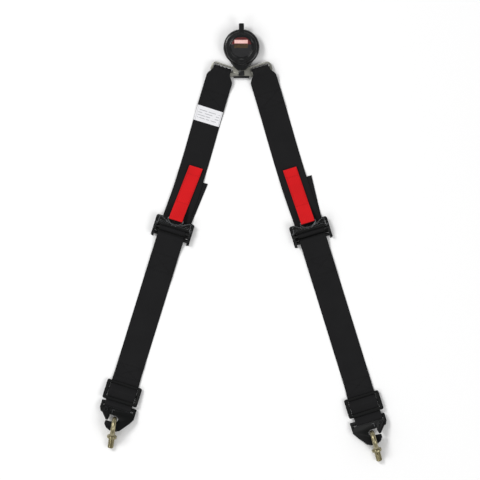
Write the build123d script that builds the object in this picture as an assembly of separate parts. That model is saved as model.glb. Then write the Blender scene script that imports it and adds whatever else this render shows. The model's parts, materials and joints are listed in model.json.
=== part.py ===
"""Two-belt lower section of a racing harness, laid out flat.

A rotary buckle holds a double-slot yoke. Two 50 mm belts leave the yoke in a narrow V. Each belt
runs to a quick-release adjuster with a red pull tab, then on through a three-bar slide to a snap
hook that is clipped on an eye bolt.

Frame: millimetres, +Z up, origin on the buckle's axis at its back face, which lies on the surface.
+Y points from the belts to the buckle's lever. Each belt has its own frame: +X across the belt,
-Y down the belt, origin above or below the middle of its yoke bar. A belt's side view is drawn in
(v, z), where v is the distance down the belt and z the height.
"""

from build123d import *
import math
import os

# ---------------------------------------------------------------- driving dimensions
# Belts
BELT_WIDTH = 50.0
WEB = 1.5  # webbing thickness
LAYER_GAP = 0.05  # between two layers of webbing that lie on each other
BELT_SPLAY = 17.2  # angle of each belt from the buckle's centre line, degrees
YOKE_BAR_X = 36.1  # middle of each yoke bar
YOKE_BAR_Y = -44.5
SEWN_LENGTH = 70.0  # how far a sewn loop is doubled back

# Buckle
BODY_R = 33.0
BODY_WALL = 4.0
BASE_T = 3.0
BASE_R = BODY_R - 2.0
BODY_TOP = 20.0
BODY_ROOF = 3.0
TONGUE_SLOT_WIDTH = 20.0
TONGUE_SLOT_HEIGHT = 5.2
LAP_ANGLES = (0.0, 180.0)
SHOULDER_ANGLES = (55.0, 125.0)
KNOB_R = BODY_R - 4.5
KNOB_HEIGHT = 9.6
KNOB_GAP = 0.4  # between the knob and the housing
TAB_WIDTH = 9.5
TAB_REACH = 43.5  # from the buckle's axis
TAB_THICKNESS = 4.0
BADGE_R = 18.8
KNOB_TOP_R = 21.5
POCKET_AT = 29.5
POCKET_R = 9.0
BADGE_T = 1.2
POST_R = 3.0
HUB_R = 7.5
RUNNING_GAP = 0.06  # radial gap of a shaft that turns in its bore
LATCH_PIN_R = 2.8
LATCH_PIN_AT = 20.5  # distance of the latch pins from the axis
LIFTER_T = 1.5
SCREW_R = 1.8
SCREW_AT = 26.4
SCREW_ANGLES = (27.5, 152.5, 225.0, 315.0)

# Yoke
PLATE_T = 3.0
YOKE_BAR_WIDTH = 8.0
YOKE_SLOT = 7.5
YOKE_SLOT_GAP = 1.4  # room beside the gathered webbing
YOKE_RIM = 4.5
YOKE_SHOULDER_R = 8.5  # rounding of the rim's outer corner
YOKE_RAIL = 3.9  # metal beyond the slot's outer end
KEEPER_START = -43.0  # where the keeper comes out of the spout
LOOP_HALF = 16.2  # half width of the webbing where it is gathered in the slot
LOOP_TAPER = 15.0  # how far down the belt the gathering reaches
TURN_GAP = 0.25  # free space between a loop and the bar that it turns on

# Adjuster
ADJUSTER_AT = {"left": 303.5, "right": 307.8}  # down each belt
ADJUSTER_HALF_LENGTH = 20.5
CHEEK_T = 2.0
CHEEK_GAP = 6.5  # room beside the webbing, which also takes the fanned tail
FOOT = 2.7  # how far a foot stands out from its cheek
FLANGE_T = 2.0
STRIP_LENGTH = 6.5  # base strip that joins the cheeks
BACK_STRIP = (4.1, 2.5)  # second strip: how far it stays from the load bar's and roller's axes
KNURL_R = 3.0
LOAD_BAR_R = 3.0
LOAD_BAR_AT = 12.5  # below the knurled bar
LEVER_PIN_R = 1.5
LEVER_PIN_AT = -6.2
LEVER_GAP = 0.75  # between the rolled lever and the webbing under it
LEVER_WEB_DROP = 1.35  # from the webbing's top at the knurled bar down to its top at the pin
LEVER_HEM_R = 2.7
LEVER_PLATE_T = 1.6
TAIL_LENGTH = 99.5
TAIL_TURN = {"left": 5.3, "right": 3.9}  # how far the loose tail fans out, degrees
TAIL_SHIFT = {"left": 2.5, "right": 0.3}

# Pull tab
TAB_WEB = 1.3
TAB_WEB_WIDTH = 25.5
PULL_LENGTH = 102.0
BAIL_WIRE_R = 1.0
BAIL_HALF = 5.9  # half width at the lugs, inside the V
BAIL_LENGTH = 10.5
BAIL_AT = -10.3
BAIL_GAP_HALF = 11.0  # the lever's lip stops here, so that the bail can swing up
PULL_TURN = {"left": 4.2, "right": -1.6}

# Slide
SLIDE_AT = {"left": 616.0, "right": 637.8}
SLIDE_SHIFT = {"left": 0.0, "right": -0.8}
SLIDE_T = 2.4
SLIDE_GAP = 1.0  # room beside the webbing
SLIDE_RAIL = 7.0
SLIDE_BARS = ((-16.0, 5.0), (-1.0, 5.0), (15.0, 6.0))  # middle along the slide, and width
SLIDE_LIFT = 7.9
SLIDE_TILT = 6.4

# Snap hook
HOOK_T = 3.5
HOOK_BAR_WIDTH = 6.0
HOOK_BAR_AT = {"left": 24.5, "right": 28.5}  # below the slide's middle
HOOK_SLOT = 3.6
HOOK_SLOT_GAP = 3.5  # room beside the webbing
HOOK_RAIL = 4.7
HOOK_TILT = 19.4  # the nose is held up by the eye bolt's ring
HOOK_THROAT_R = 6.8
HOOK_THROAT = (-1.0, -26.5)
HOOK_SHIFT = {"left": 1.5, "right": -2.4}
RETURN_LENGTH = 80.0  # webbing that is folded back under the slide
GATE_T = 1.6
GATE_PIVOT = (-21.5, -13.5)
RIVET_R = 2.0

# Eye bolt
EYE_WIRE_R = 4.25
EYE_RING_R = 14.25
EYE_COLLAR_R = 9.0
EYE_COLLAR_T = 4.5
EYE_SHANK_R = 5.556  # 7/16 inch thread, outside
EYE_SHANK_LENGTH = 19.0
EYE_DROOP = 18.5
EYE_TURN = {"left": 10.0, "right": -2.7}

# ---------------------------------------------------------------- worked out from them
CHEEK_AT = BELT_WIDTH / 2 + CHEEK_GAP  # inner face of a cheek, from the belt's middle
ADJUSTER_HALF_WIDTH = CHEEK_AT + CHEEK_T + FOOT
SLIDE_WINDOW = BELT_WIDTH + 2 * SLIDE_GAP
SLIDE_WIDTH = SLIDE_WINDOW + 2 * SLIDE_RAIL
HOOK_SLOT_HALF = BELT_WIDTH / 2 + HOOK_SLOT_GAP
HOOK_HALF = HOOK_SLOT_HALF + HOOK_RAIL
YOKE_SLOT_HALF = LOOP_HALF + YOKE_SLOT_GAP
YOKE_END = YOKE_SLOT_HALF + YOKE_RAIL
YOKE_LOOP_IN = math.hypot(YOKE_BAR_WIDTH / 2, PLATE_T / 2) + TURN_GAP
YOKE_Z = YOKE_LOOP_IN + WEB + LAYER_GAP
TAIL_OVER_STRIP = FLANGE_T + 0.1 + WEB / 2
KNURL_MID = KNURL_R + 0.1 + WEB / 2
KNURL_Z = TAIL_OVER_STRIP + KNURL_MID
LOAD_MID = LOAD_BAR_R + TURN_GAP + WEB / 2
LOAD_Z = LOAD_MID + WEB / 2 + LAYER_GAP
ONE_LAYER = WEB / 2
TWO_LAYERS = WEB / 2 + WEB + LAYER_GAP
HOOK_LOOP_MID = math.hypot(HOOK_BAR_WIDTH / 2, HOOK_T / 2) + TURN_GAP + WEB / 2
LEVER_PIN_Z = KNURL_Z + KNURL_MID + WEB / 2 - LEVER_WEB_DROP + LEVER_GAP + LEVER_HEM_R
CHEEK_HEIGHT = LEVER_PIN_Z + 1.2
TONGUE_Z0 = YOKE_Z - TONGUE_SLOT_HEIGHT / 2
LIFTER_Z = 12.2
SIDES = ("left", "right")
SIDE_SIGN = {"left": -1, "right": 1}

SIDE_VIEW = Plane(origin=(0, 0, 0), x_dir=(0, -1, 0), z_dir=(-1, 0, 0))


# ---------------------------------------------------------------- helpers
def belt_frame(side):
    """Where a belt's own frame lies in the object's frame."""
    sign = SIDE_SIGN[side]
    return Location((sign * YOKE_BAR_X, YOKE_BAR_Y, 0), (0, 0, sign * BELT_SPLAY))


def mirrored(shape, side):
    """Parts are drawn for the left belt. The right belt takes the mirror image."""
    return mirror(shape, about=Plane.YZ) if side == "right" else shape


def webbing(route, width, thickness=WEB):
    """Flat webbing that follows a route of (v, z, turn) in the side view.

    Each entry is a circle that the webbing passes round, with turn its signed radius: positive
    when the webbing turns left there, negative when it turns right, and 0 at the two ends.
    Between two circles the webbing runs along their common tangent, so the route is smooth.
    """
    heading = []
    for (v0, z0, turn0), (v1, z1, turn1) in zip(route, route[1:]):
        straight = math.atan2(z1 - z0, v1 - v0)
        heading.append(straight + math.asin((turn0 - turn1) / math.hypot(v1 - v0, z1 - z0)))

    def edge_curve(offset):
        def at(circle, angle):
            v, z, turn = circle
            return (v + (turn + offset) * math.sin(angle), z - (turn + offset) * math.cos(angle))

        last = at(route[0], heading[0])
        first, pieces = last, []
        for circle, before, after in zip(route[1:-1], heading, heading[1:]):
            sweep = (after - before) % (2 * math.pi)
            if circle[2] < 0:
                sweep -= 2 * math.pi
            start, end = at(circle, before), at(circle, before + sweep)
            pieces.append(Line(last, start))
            pieces.append(ThreePointArc(start, at(circle, before + sweep / 2), end))
            last = end
        end = at(route[-1], heading[-1])
        pieces.append(Line(last, end))
        return pieces, first, end

    one, first_one, last_one = edge_curve(thickness / 2)
    other, first_other, last_other = edge_curve(-thickness / 2)
    outline = Wire([*one, *other, Line(first_one, first_other), Line(last_one, last_other)])
    return extrude(SIDE_VIEW * Face(outline), amount=width / 2, both=True)


def plate(points, thickness, radius=0.0):
    """A flat plate with the given outline, centred on z = 0."""
    outline = make_face(Polyline(*points, close=True))
    if radius:
        outline = fillet(outline.vertices(), radius)
    return extrude(outline, amount=thickness / 2, both=True)


def slab(x0, x1, y0, y1, z0, z1):
    """A box between two corners."""
    middle = Location(((x0 + x1) / 2, (y0 + y1) / 2, (z0 + z1) / 2))
    return middle * Box(x1 - x0, y1 - y0, z1 - z0)


def disc(radius, z0, z1, x=0.0, y=0.0):
    """An upright cylinder from z0 to z1."""
    return Location((x, y, (z0 + z1) / 2)) * Cylinder(radius, z1 - z0)


def rod(radius, length, v, z):
    """A round bar across the belt."""
    return Location((0, -v, z), (0, 90, 0)) * Cylinder(radius, length)


def polar(radius, degrees):
    angle = math.radians(degrees)
    return radius * math.cos(angle), radius * math.sin(angle)


def joined(shapes):
    """Several separate solids as one node."""
    return Compound(children=list(shapes))


# ---------------------------------------------------------------- buckle
def tongue_slot(angle):
    """The slot through the housing's wall where a tongue slides in."""
    reach = BODY_R - 6
    slot = slab(0, reach, -TONGUE_SLOT_WIDTH / 2, TONGUE_SLOT_WIDTH / 2, 0, TONGUE_SLOT_HEIGHT)
    return Rot(0, 0, angle) * Pos(BODY_R - 14, 0, TONGUE_Z0) * slot


def buckle_base_plate():
    plate_disc = disc(BASE_R, 0, BASE_T)
    plate_disc = chamfer(plate_disc.edges().group_by(Axis.Z)[0], 0.5)
    for angle in SCREW_ANGLES:
        x, y = polar(SCREW_AT, angle)
        plate_disc -= disc(SCREW_R + 0.15, -1, BASE_T + 1, x, y)
        plate_disc -= disc(2 * SCREW_R, -1, 1.4, x, y)
    return plate_disc


def buckle_housing():
    """Cast housing: a round shell over the base plate, with a spout that guides the yoke."""
    body = disc(BODY_R, BASE_T, BODY_TOP)
    x, y = polar(BODY_R - 0.5, -29)
    funnel = [(-x, y), (x, y), (14, KEEPER_START + 7.0), (7, KEEPER_START + 1.0)]
    funnel += [(-x, y) for x, y in reversed(funnel[2:])]
    spout_top = YOKE_Z + PLATE_T / 2 + 5.0
    spout = Pos(0, 0, (BASE_T + spout_top) / 2) * plate(funnel, spout_top - BASE_T)
    spout = fillet(spout.edges().group_by(Axis.Z)[-1], 2.0)
    body = fillet(body.edges().group_by(Axis.Z)[-1], 5.0)
    body += spout
    body -= disc(BODY_R - BODY_WALL, BASE_T - 1, BODY_TOP - BODY_ROOF)
    for angle in SCREW_ANGLES:
        x, y = polar(SCREW_AT, angle)
        body += disc(SCREW_R + 1.7, BASE_T, BODY_TOP - BODY_ROOF, x, y)
        body -= disc(SCREW_R, BASE_T - 1, BASE_T + 6.5, x, y)
    for angle in (*LAP_ANGLES, *SHOULDER_ANGLES):
        body -= tongue_slot(angle)
    yoke_room = YOKE_Z + PLATE_T / 2 + 0.5
    body -= slab(-18, 18, -60, -26, BASE_T - 1, yoke_room)
    body -= disc(HUB_R + 1.5, BODY_TOP - BODY_ROOF - 1, BODY_TOP + 1)
    return body


def buckle_post():
    head = disc(POST_R + 2.0, BASE_T, BASE_T + 3.0)
    return head + disc(POST_R, BASE_T + 3.0, BODY_TOP + KNOB_GAP + 3.5)


def captive_pin():
    return disc(LATCH_PIN_R, BASE_T, TONGUE_Z0 + TONGUE_SLOT_HEIGHT, 0, -LATCH_PIN_AT)


def housing_screws():
    """Four countersunk screws that come up through the base plate."""
    made = []
    for angle in SCREW_ANGLES:
        x, y = polar(SCREW_AT, angle)
        screw = disc(2 * SCREW_R - 0.15, 0.1, 1.35, x, y)
        screw += disc(SCREW_R - 0.05, 1.3, BASE_T + 6.0, x, y)
        screw -= Pos(x, y, 0.1) * Box(0.8, 4.6, 1.2)
        made.append(screw)
    return joined(made)


def knob():
    """Domed release knob with three finger pockets and a lever tab."""
    z0 = BODY_TOP + KNOB_GAP
    z1 = z0 + KNOB_HEIGHT
    outline = Polyline((0, z0), (KNOB_R, z0), (KNOB_R, z0 + 3.2), (KNOB_TOP_R, z1), (0, z1), close=True)
    profile = make_face(Plane.XZ * outline)
    dome = revolve(profile, Axis.Z)
    dome = fillet(dome.edges().filter_by(GeomType.CIRCLE).group_by(Axis.Z)[-1], 2.0)
    dome = fillet(dome.edges().filter_by(GeomType.CIRCLE).sort_by(Axis.Z)[1], 1.2)
    for angle in (30.0, 150.0, 270.0):
        x, y = polar(POCKET_AT, angle)
        dome -= Location((x, y, z1 + 3.5), (0, 0, angle)) * Sphere(POCKET_R)
    lever = slab(-TAB_WIDTH / 2, TAB_WIDTH / 2, 18, TAB_REACH, z0 + 0.4, z0 + 0.4 + TAB_THICKNESS)
    lever = fillet(lever.edges().filter_by(Axis.Z).group_by(Axis.Y)[-1], 2.5)
    dome += lever
    dome -= disc(BADGE_R + 0.15, z1 - BADGE_T, z1 + 1)
    hub = disc(HUB_R, LIFTER_Z - 3.5, z0) + disc(16.5, LIFTER_Z - 3.5, LIFTER_Z - 0.1)
    for angle in (0, 120, 240):
        x, y = polar(14.2, angle + 12)
        hub += disc(1.6, LIFTER_Z - 0.2, LIFTER_Z + LIFTER_T - 0.1, x, y)
    dome -= disc(POST_R + RUNNING_GAP, z0 - 1, z0 + 4.0)
    hub -= disc(POST_R + RUNNING_GAP, 0, z0 + 1.0)
    hub -= disc(POST_R + 2.3, 0, BASE_T + 3.2)
    return dome, hub


def knob_badge():
    z1 = BODY_TOP + KNOB_GAP + KNOB_HEIGHT
    return disc(BADGE_R, z1 - BADGE_T, z1 - 0.15)


def latch_lifter():
    """Ring that carries the four latch pins and is lifted by the knob's cam."""
    ring = disc(24.0, LIFTER_Z, LIFTER_Z + LIFTER_T) - disc(HUB_R + 2.0, 0, 30)
    for angle in (0, 120, 240):
        sweep = [Pos(*polar(14.2, angle + 12 + step * 7.5)) * Circle(2.3) for step in range(8)]
        window = sweep[0]
        for more in sweep[1:]:
            window += more
        ring -= Pos(0, 0, LIFTER_Z - 1) * extrude(window, amount=LIFTER_T + 2)
    for angle in (225.0, 315.0):
        x, y = polar(SCREW_AT, angle)
        ring -= disc(SCREW_R + 2.2, 0, 30, x, y)
    for angle in (27.5, 152.5):
        x, y = polar(SCREW_AT, angle)
        ring -= disc(SCREW_R + 2.2, 0, 30, x, y)
    return ring


def latch_pins():
    made = []
    for angle in (*LAP_ANGLES, *SHOULDER_ANGLES):
        x, y = polar(LATCH_PIN_AT, angle)
        made.append(disc(LATCH_PIN_R, BASE_T + 0.2, LIFTER_Z, x, y))
    return joined(made)


def latch_springs():
    """Four compression springs between the lifter and the housing's roof."""
    made = []
    z0, z1 = LIFTER_Z + LIFTER_T, BODY_TOP - BODY_ROOF
    for angle in (*LAP_ANGLES, *SHOULDER_ANGLES):
        x, y = polar(LATCH_PIN_AT, angle)
        made.append(disc(2.6, z0, z1, x, y) - disc(1.6, z0 - 1, z1 + 1, x, y))
    return joined(made)


def knob_return_spring():
    """Flat torsion spring in the housing's central opening."""
    z0, z1 = BODY_TOP - BODY_ROOF + 0.2, BODY_TOP - 0.2
    return disc(HUB_R + 1.2, z0, z1) - disc(HUB_R + 0.2, z0 - 1, z1 + 1)


# ---------------------------------------------------------------- yoke
def yoke_plate():
    """Pressed plate: a tongue into the buckle and one slot for each belt."""
    half = YOKE_BAR_WIDTH / 2
    top = half + YOKE_SLOT + YOKE_RIM
    blank = None
    for side in SIDES:
        sign = SIDE_SIGN[side]
        outer = sign * YOKE_END
        inner = -sign * YOKE_SLOT_HALF - sign * 3.0
        points = [(outer, -half), (outer, top - 1.0), (inner, top - 2.0), (inner, -half)]
        wing = make_face(Polyline(*points, close=True))
        corners = wing.vertices().sort_by_distance(Vertex(outer, top, 0))
        wing = fillet(corners[:1], YOKE_SHOULDER_R)
        corners = wing.vertices().sort_by_distance(Vertex(outer, -half, 0))
        wing = belt_frame(side) * fillet(corners[:1], 4.0)
        blank = wing if blank is None else blank + wing
    middle = [(-23, -37), (-12, -34), (12, -34), (23, -37), (20, -54.5), (-20, -54.5)]
    blank += make_face(Polyline(*middle, close=True))
    tongue = Pos(0, -24) * Rectangle(TONGUE_SLOT_WIDTH - 1, 30)
    blank += fillet(tongue.vertices(), 3.0)
    for side in SIDES:
        slot = Pos(0, half + YOKE_SLOT / 2) * RectangleRounded(2 * YOKE_SLOT_HALF, YOKE_SLOT, 2.4)
        blank -= belt_frame(side) * slot
    blank -= Pos(0, -LATCH_PIN_AT) * Circle(LATCH_PIN_R + 0.1)
    return Pos(0, 0, YOKE_Z) * extrude(blank, amount=PLATE_T / 2, both=True)


def yoke_edge_guard():
    """Moulded strip that covers the yoke's lower edge between the belts."""
    z0, z1 = YOKE_Z - PLATE_T / 2 - 1.2, YOKE_Z + PLATE_T / 2 + 1.2
    guard = slab(-14.5, 14.5, -56.6, -52.4, z0, z1)
    guard = fillet(guard.edges().filter_by(Axis.X), 1.0)
    groove = slab(-30, 30, -54.55, -50, YOKE_Z - PLATE_T / 2 - 0.02, YOKE_Z + PLATE_T / 2 + 0.02)
    return guard - groove


def yoke_keeper():
    """Black strap that comes out of the spout and holds the yoke's middle down."""
    z0 = YOKE_Z + PLATE_T / 2 + 0.05
    strap = slab(-5.2, 5.2, -52.0, KEEPER_START, z0, z0 + 2.2)
    strap = fillet(strap.edges().filter_by(Axis.Z).group_by(Axis.Y)[0], 1.5)
    return strap - disc(2.1, 0, 30, 0, -47.6)


def keeper_rivet():
    z0 = YOKE_Z + PLATE_T / 2 + 0.05
    head = disc(3.4, z0 + 2.25, z0 + 3.6, 0, -47.6)
    head = fillet(head.edges().group_by(Axis.Z)[-1], 1.0)
    return head + disc(2.0, z0 + 0.05, z0 + 2.3, 0, -47.6)


# ---------------------------------------------------------------- upper webbing
def upper_webbing(side):
    """One length of webbing: sewn loop on the yoke, the belt, the turn in the adjuster, the tail."""
    at = ADJUSTER_AT[side]
    tail_end = at - TAIL_LENGTH
    bend = 20.0
    route = [
        (SEWN_LENGTH, ONE_LAYER, 0),
        (0, YOKE_Z, -(YOKE_LOOP_IN + WEB / 2)),
        (36, TWO_LAYERS + bend, bend),
        (SEWN_LENGTH + 1, TWO_LAYERS - bend, -bend),
        (SEWN_LENGTH + 18, ONE_LAYER + bend, bend),
        (tail_end - 18, ONE_LAYER + bend, bend),
        (tail_end - 2, TWO_LAYERS - bend, -bend),
        (at - 34, TWO_LAYERS + bend, bend),
        (at, KNURL_Z, -KNURL_MID),
        (at - 5, TAIL_OVER_STRIP, 0),
    ]
    belt = webbing(route, BELT_WIDTH)
    half = BELT_WIDTH / 2 + 1
    gathered = [
        (-LOOP_HALF, 12), (LOOP_HALF, 12), (LOOP_HALF, 0), (BELT_WIDTH / 2, -LOOP_TAPER),
        (half, -LOOP_TAPER - 3), (half, -at - 20), (-half, -at - 20), (-half, -LOOP_TAPER - 3),
        (-BELT_WIDTH / 2, -LOOP_TAPER), (-LOOP_HALF, 0),
    ]
    belt &= Pos(0, 0, 10) * plate(gathered, 60)
    drop = 12.0
    tail = webbing(
        [
            (1.0, TAIL_OVER_STRIP, 0),
            (-21.5, TAIL_OVER_STRIP - drop, drop),
            (-36.5, ONE_LAYER + drop, -drop),
            (-TAIL_LENGTH, ONE_LAYER, 0),
        ],
        BELT_WIDTH,
    )
    tail = Location((TAIL_SHIFT[side], -at, 0), (0, 0, -TAIL_TURN[side])) * tail
    return belt + tail


def care_label():
    """Woven label sewn across the left belt."""
    z0 = TWO_LAYERS + WEB / 2 + 0.02
    label = plate([(-24.6, -69.5), (24.0, -68.0), (24.0, -96.0), (-24.6, -98.0)], 0.4)
    return Pos(0, 0, z0 + 0.2) * label


# ---------------------------------------------------------------- adjuster
def adjuster_frame(side):
    """Pressed frame: two cheeks with feet, a base strip and a round load bar."""
    at = ADJUSTER_AT[side]
    end = ADJUSTER_HALF_LENGTH
    made = slab(-ADJUSTER_HALF_WIDTH, ADJUSTER_HALF_WIDTH, end - STRIP_LENGTH, end, 0, FLANGE_T)
    made = fillet(made.edges().filter_by(Axis.Z).group_by(Axis.Y)[-1], 4.0)
    made += slab(-CHEEK_AT, CHEEK_AT, BACK_STRIP[0] - LOAD_BAR_AT, -BACK_STRIP[1], 0, FLANGE_T)
    for sign in (-1, 1):
        x0, x1 = sorted((sign * CHEEK_AT, sign * (CHEEK_AT + CHEEK_T)))
        cheek = slab(x0, x1, -end + 3.5, end - 1.5, 0, CHEEK_HEIGHT)
        cheek -= Location((0, -end, CHEEK_HEIGHT + 4.0), (45, 0, 0)) * Box(99, 14, 14)
        made += cheek
        x0, x1 = sorted((sign * CHEEK_AT, sign * ADJUSTER_HALF_WIDTH))
        foot = [(x0, end - 4), (x1, end - 4), (x1, -end + 1.5), (x0, -end)]
        if sign < 0:
            foot = [(x0, end - 4), (x1, end - 4), (x1, -end), (x0, -end + 1.5)]
        made += Pos(0, 0, FLANGE_T / 2) * plate(foot, FLANGE_T)
    made += rod(LOAD_BAR_R, 2 * CHEEK_AT + 1, LOAD_BAR_AT, LOAD_Z)
    made -= rod(KNURL_R, 2 * CHEEK_AT + 10, 0, KNURL_Z)
    made -= rod(LEVER_PIN_R, 2 * CHEEK_AT + 10, LEVER_PIN_AT, LEVER_PIN_Z)
    return Pos(0, -at, 0) * made


def knurled_bar(side):
    """Round bar that the webbing turns on, with a head outside each cheek."""
    outside = CHEEK_AT + CHEEK_T + 0.05
    bar = rod(KNURL_R - 0.02, 2 * outside, 0, KNURL_Z)
    for sign in (-1, 1):
        head = Location((sign * (outside + 0.6), 0, KNURL_Z), (0, 90, 0))
        bar += head * Cylinder(KNURL_R + 0.9, 1.2)
    return Pos(0, -ADJUSTER_AT[side], 0) * bar


def lever_pin(side):
    outside = CHEEK_AT + CHEEK_T + 0.05
    pin = rod(LEVER_PIN_R - 0.02, 2 * outside, LEVER_PIN_AT, LEVER_PIN_Z)
    for sign in (-1, 1):
        head = Location((sign * (outside + 0.4), -LEVER_PIN_AT, LEVER_PIN_Z), (0, 90, 0))
        pin += head * Cylinder(LEVER_PIN_R + 0.8, 0.8)
    return Pos(0, -ADJUSTER_AT[side], 0) * pin


def adjuster_lever(side):
    """Release lever: a plate with a V-shaped upper edge, rolled round its pin, with two lugs."""
    half = CHEEK_AT - 0.9
    y_pin = -LEVER_PIN_AT
    z_top = LEVER_HEM_R
    hem = Location((0, y_pin, LEVER_PIN_Z), (0, 90, 0)) * Cylinder(LEVER_HEM_R, 2 * half)
    edge = ADJUSTER_HALF_LENGTH - 1.2
    points = [
        (-half, y_pin), (-half, edge), (-half + 5, edge), (-4.5, 8.6), (4.5, 8.6),
        (half - 5, edge), (half, edge), (half, y_pin),
    ]
    wing = fillet(make_face(Polyline(*points, close=True)).vertices().group_by(Axis.Y)[-1], 1.5)
    wing = extrude(wing, amount=-LEVER_PLATE_T)
    lip_height = 1.4
    lip = make_face(Polyline(*points, close=True)) - offset(
        make_face(Polyline(*points, close=True)), -1.0, kind=Kind.INTERSECTION
    )
    lip -= Rectangle(200, 2 * (y_pin + 1.2))
    lip -= Rectangle(2 * BAIL_GAP_HALF, 200)
    wing += extrude(lip, amount=lip_height)
    lever = hem + Pos(0, 0, LEVER_PIN_Z + z_top) * wing
    for sign in (-1, 1):
        x = sign * (BAIL_HALF - BAIL_WIRE_R - 1.1)
        lever += slab(x - 0.6, x + 0.6, y_pin + 1.5, -BAIL_AT + 1.9, LEVER_PIN_Z, bail_z() + 1.9)
    lever -= Location((0, -BAIL_AT, bail_z()), (0, 90, 0)) * Cylinder(BAIL_WIRE_R + 0.08, 99)
    lever -= Location((0, y_pin, LEVER_PIN_Z), (0, 90, 0)) * Cylinder(LEVER_PIN_R + RUNNING_GAP, 99)
    return Pos(0, -ADJUSTER_AT[side], 0) * lever


def bail_z():
    """Height of the bail's pivot, level with the lever plate."""
    return LEVER_PIN_Z + LEVER_HEM_R + 0.1


def lever_spring(side):
    """Flat strip that presses the lever down: it stands on the frame beside the webbing."""
    x0, x1 = 1.6 - CHEEK_AT, 4.6 - CHEEK_AT
    strip = slab(x0, x1, 8.0, 14.5, FLANGE_T + 0.02, FLANGE_T + 0.8)
    strip += slab(x0, x1, 8.0, 8.8, FLANGE_T + 0.02, LEVER_PIN_Z - LEVER_HEM_R - 0.3)
    return Pos(0, -ADJUSTER_AT[side], 0) * strip


# ---------------------------------------------------------------- pull tab
def wire(points, radius):
    """Round wire along straight stretches, with a ball at each bend."""
    made = None
    for start, end in zip(points, points[1:]):
        path = Line(start, end)
        piece = sweep(Plane(origin=start, z_dir=path % 0) * Circle(radius), path=path)
        made = piece if made is None else made + piece
        made += Pos(*end) * Sphere(radius)
    return made


def tab_bail(side):
    """Wire bail between the lever's lugs and the tab's loop."""
    y0, y1, z = -BAIL_AT, -BAIL_AT + BAIL_LENGTH, bail_z()
    far = TAB_WEB_WIDTH / 2 + BAIL_WIRE_R + 0.5
    arm = [(far, y1, z), (far, y1 - 4.5, z), (BAIL_HALF, y0, z)]
    corners = arm + [(-x, y, z) for x, y, z in reversed(arm)] + arm[:1]
    return Pos(0, -ADJUSTER_AT[side], 0) * wire(corners, BAIL_WIRE_R)


def pull_tab_webbing(side):
    """Doubled webbing that goes round the bail and lies up the belt."""
    v_bail = ADJUSTER_AT[side] + BAIL_AT - BAIL_LENGTH
    v_end = v_bail - PULL_LENGTH
    low = TWO_LAYERS + WEB / 2 + 0.3 + TAB_WEB / 2
    step = TAB_WEB + LAYER_GAP
    bend = 16.0
    route = [
        (v_end, low, 0),
        (v_bail - 34, low + bend, bend),
        (v_bail, bail_z(), BAIL_WIRE_R + TURN_GAP + TAB_WEB / 2),
        (v_bail - 34, low + bend, step - bend),
        (v_end, low + step, 0),
    ]
    tab = webbing(route, 3 * TAB_WEB_WIDTH, TAB_WEB)
    half = TAB_WEB_WIDTH / 2
    turn = Location((0, -v_bail, 0), (0, 0, -PULL_TURN[side]))
    outline = turn * (Pos(0, PULL_LENGTH / 2 + 3) * Rectangle(2 * half, PULL_LENGTH - 6))
    outline += Pos(0, -v_bail) * Rectangle(2 * half, 30)
    return tab & extrude(outline, amount=60)


# ---------------------------------------------------------------- lower webbing and slide
def slide_point(side, along, above=0.0):
    """A point of the slide's middle plane in the side view, and a height above that plane."""
    tilt = math.radians(SLIDE_TILT)
    v = SLIDE_AT[side] + along * math.cos(tilt) - above * math.sin(tilt)
    return v, SLIDE_LIFT + along * math.sin(tilt) + above * math.cos(tilt)


def hook_bar_point(side):
    return SLIDE_AT[side] + HOOK_BAR_AT[side], HOOK_LOOP_MID + WEB / 2 + LAYER_GAP


def lower_webbing(side):
    """Sewn loop on the load bar, the belt, the way through the slide, and the loop on the hook."""
    start = ADJUSTER_AT[side] + LOAD_BAR_AT
    end = hook_bar_point(side)[0] - RETURN_LENGTH
    bend = 20.0
    under = [(*slide_point(side, at), width / 2 + LAYER_GAP + WEB / 2) for at, width in SLIDE_BARS]
    top_bar, middle_bar, end_bar = under
    route = [
        (start + SEWN_LENGTH, ONE_LAYER, 0),
        (start, LOAD_Z, -LOAD_MID),
        (start + 30, TWO_LAYERS + bend, bend),
        (start + SEWN_LENGTH + 1, TWO_LAYERS - bend, -bend),
        (start + SEWN_LENGTH + 18, ONE_LAYER + bend, bend),
        (end - 18, ONE_LAYER + bend, bend),
        (end - 2, TWO_LAYERS - bend, -bend),
        top_bar,
        (middle_bar[0], middle_bar[1], -middle_bar[2]),
        end_bar,
        (*hook_bar_point(side), -HOOK_LOOP_MID),
        (end, ONE_LAYER, 0),
    ]
    return webbing(route, BELT_WIDTH)


def slide_frame(side):
    """Three-bar slide: a stamped plate with two windows and rounded bars."""
    ends = [at + sign * width / 2 for (at, width), sign in zip(SLIDE_BARS[::2], (-1, 1))]
    outline = Pos(0, -sum(ends) / 2) * RectangleRounded(SLIDE_WIDTH, ends[1] - ends[0], 3.5)
    edges = []
    for at, width in SLIDE_BARS:
        edges += [at - width / 2, at + width / 2]
    made = extrude(outline, amount=SLIDE_T / 2, both=True)
    for first, last in ((edges[1], edges[2]), (edges[3], edges[4])):
        made -= slab(-SLIDE_WINDOW / 2, SLIDE_WINDOW / 2, -last, -first, -9, 9)
    long_edges = made.edges().filter_by(Axis.X).filter_by(lambda e: e.length > SLIDE_WINDOW - 1)
    made = fillet(long_edges, SLIDE_T / 2 - 0.1)
    place = Location((SLIDE_SHIFT[side], -SLIDE_AT[side], SLIDE_LIFT), (-SLIDE_TILT, 0, 0))
    return place * made


# ---------------------------------------------------------------- snap hook and eye bolt
def hook_place(side):
    """Where the hook's own frame lies in the belt's frame: origin in its bar, -Y to its nose."""
    v, z = hook_bar_point(side)
    return Location((HOOK_SHIFT[side], -v, z), (-HOOK_TILT, 0, 0))


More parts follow.
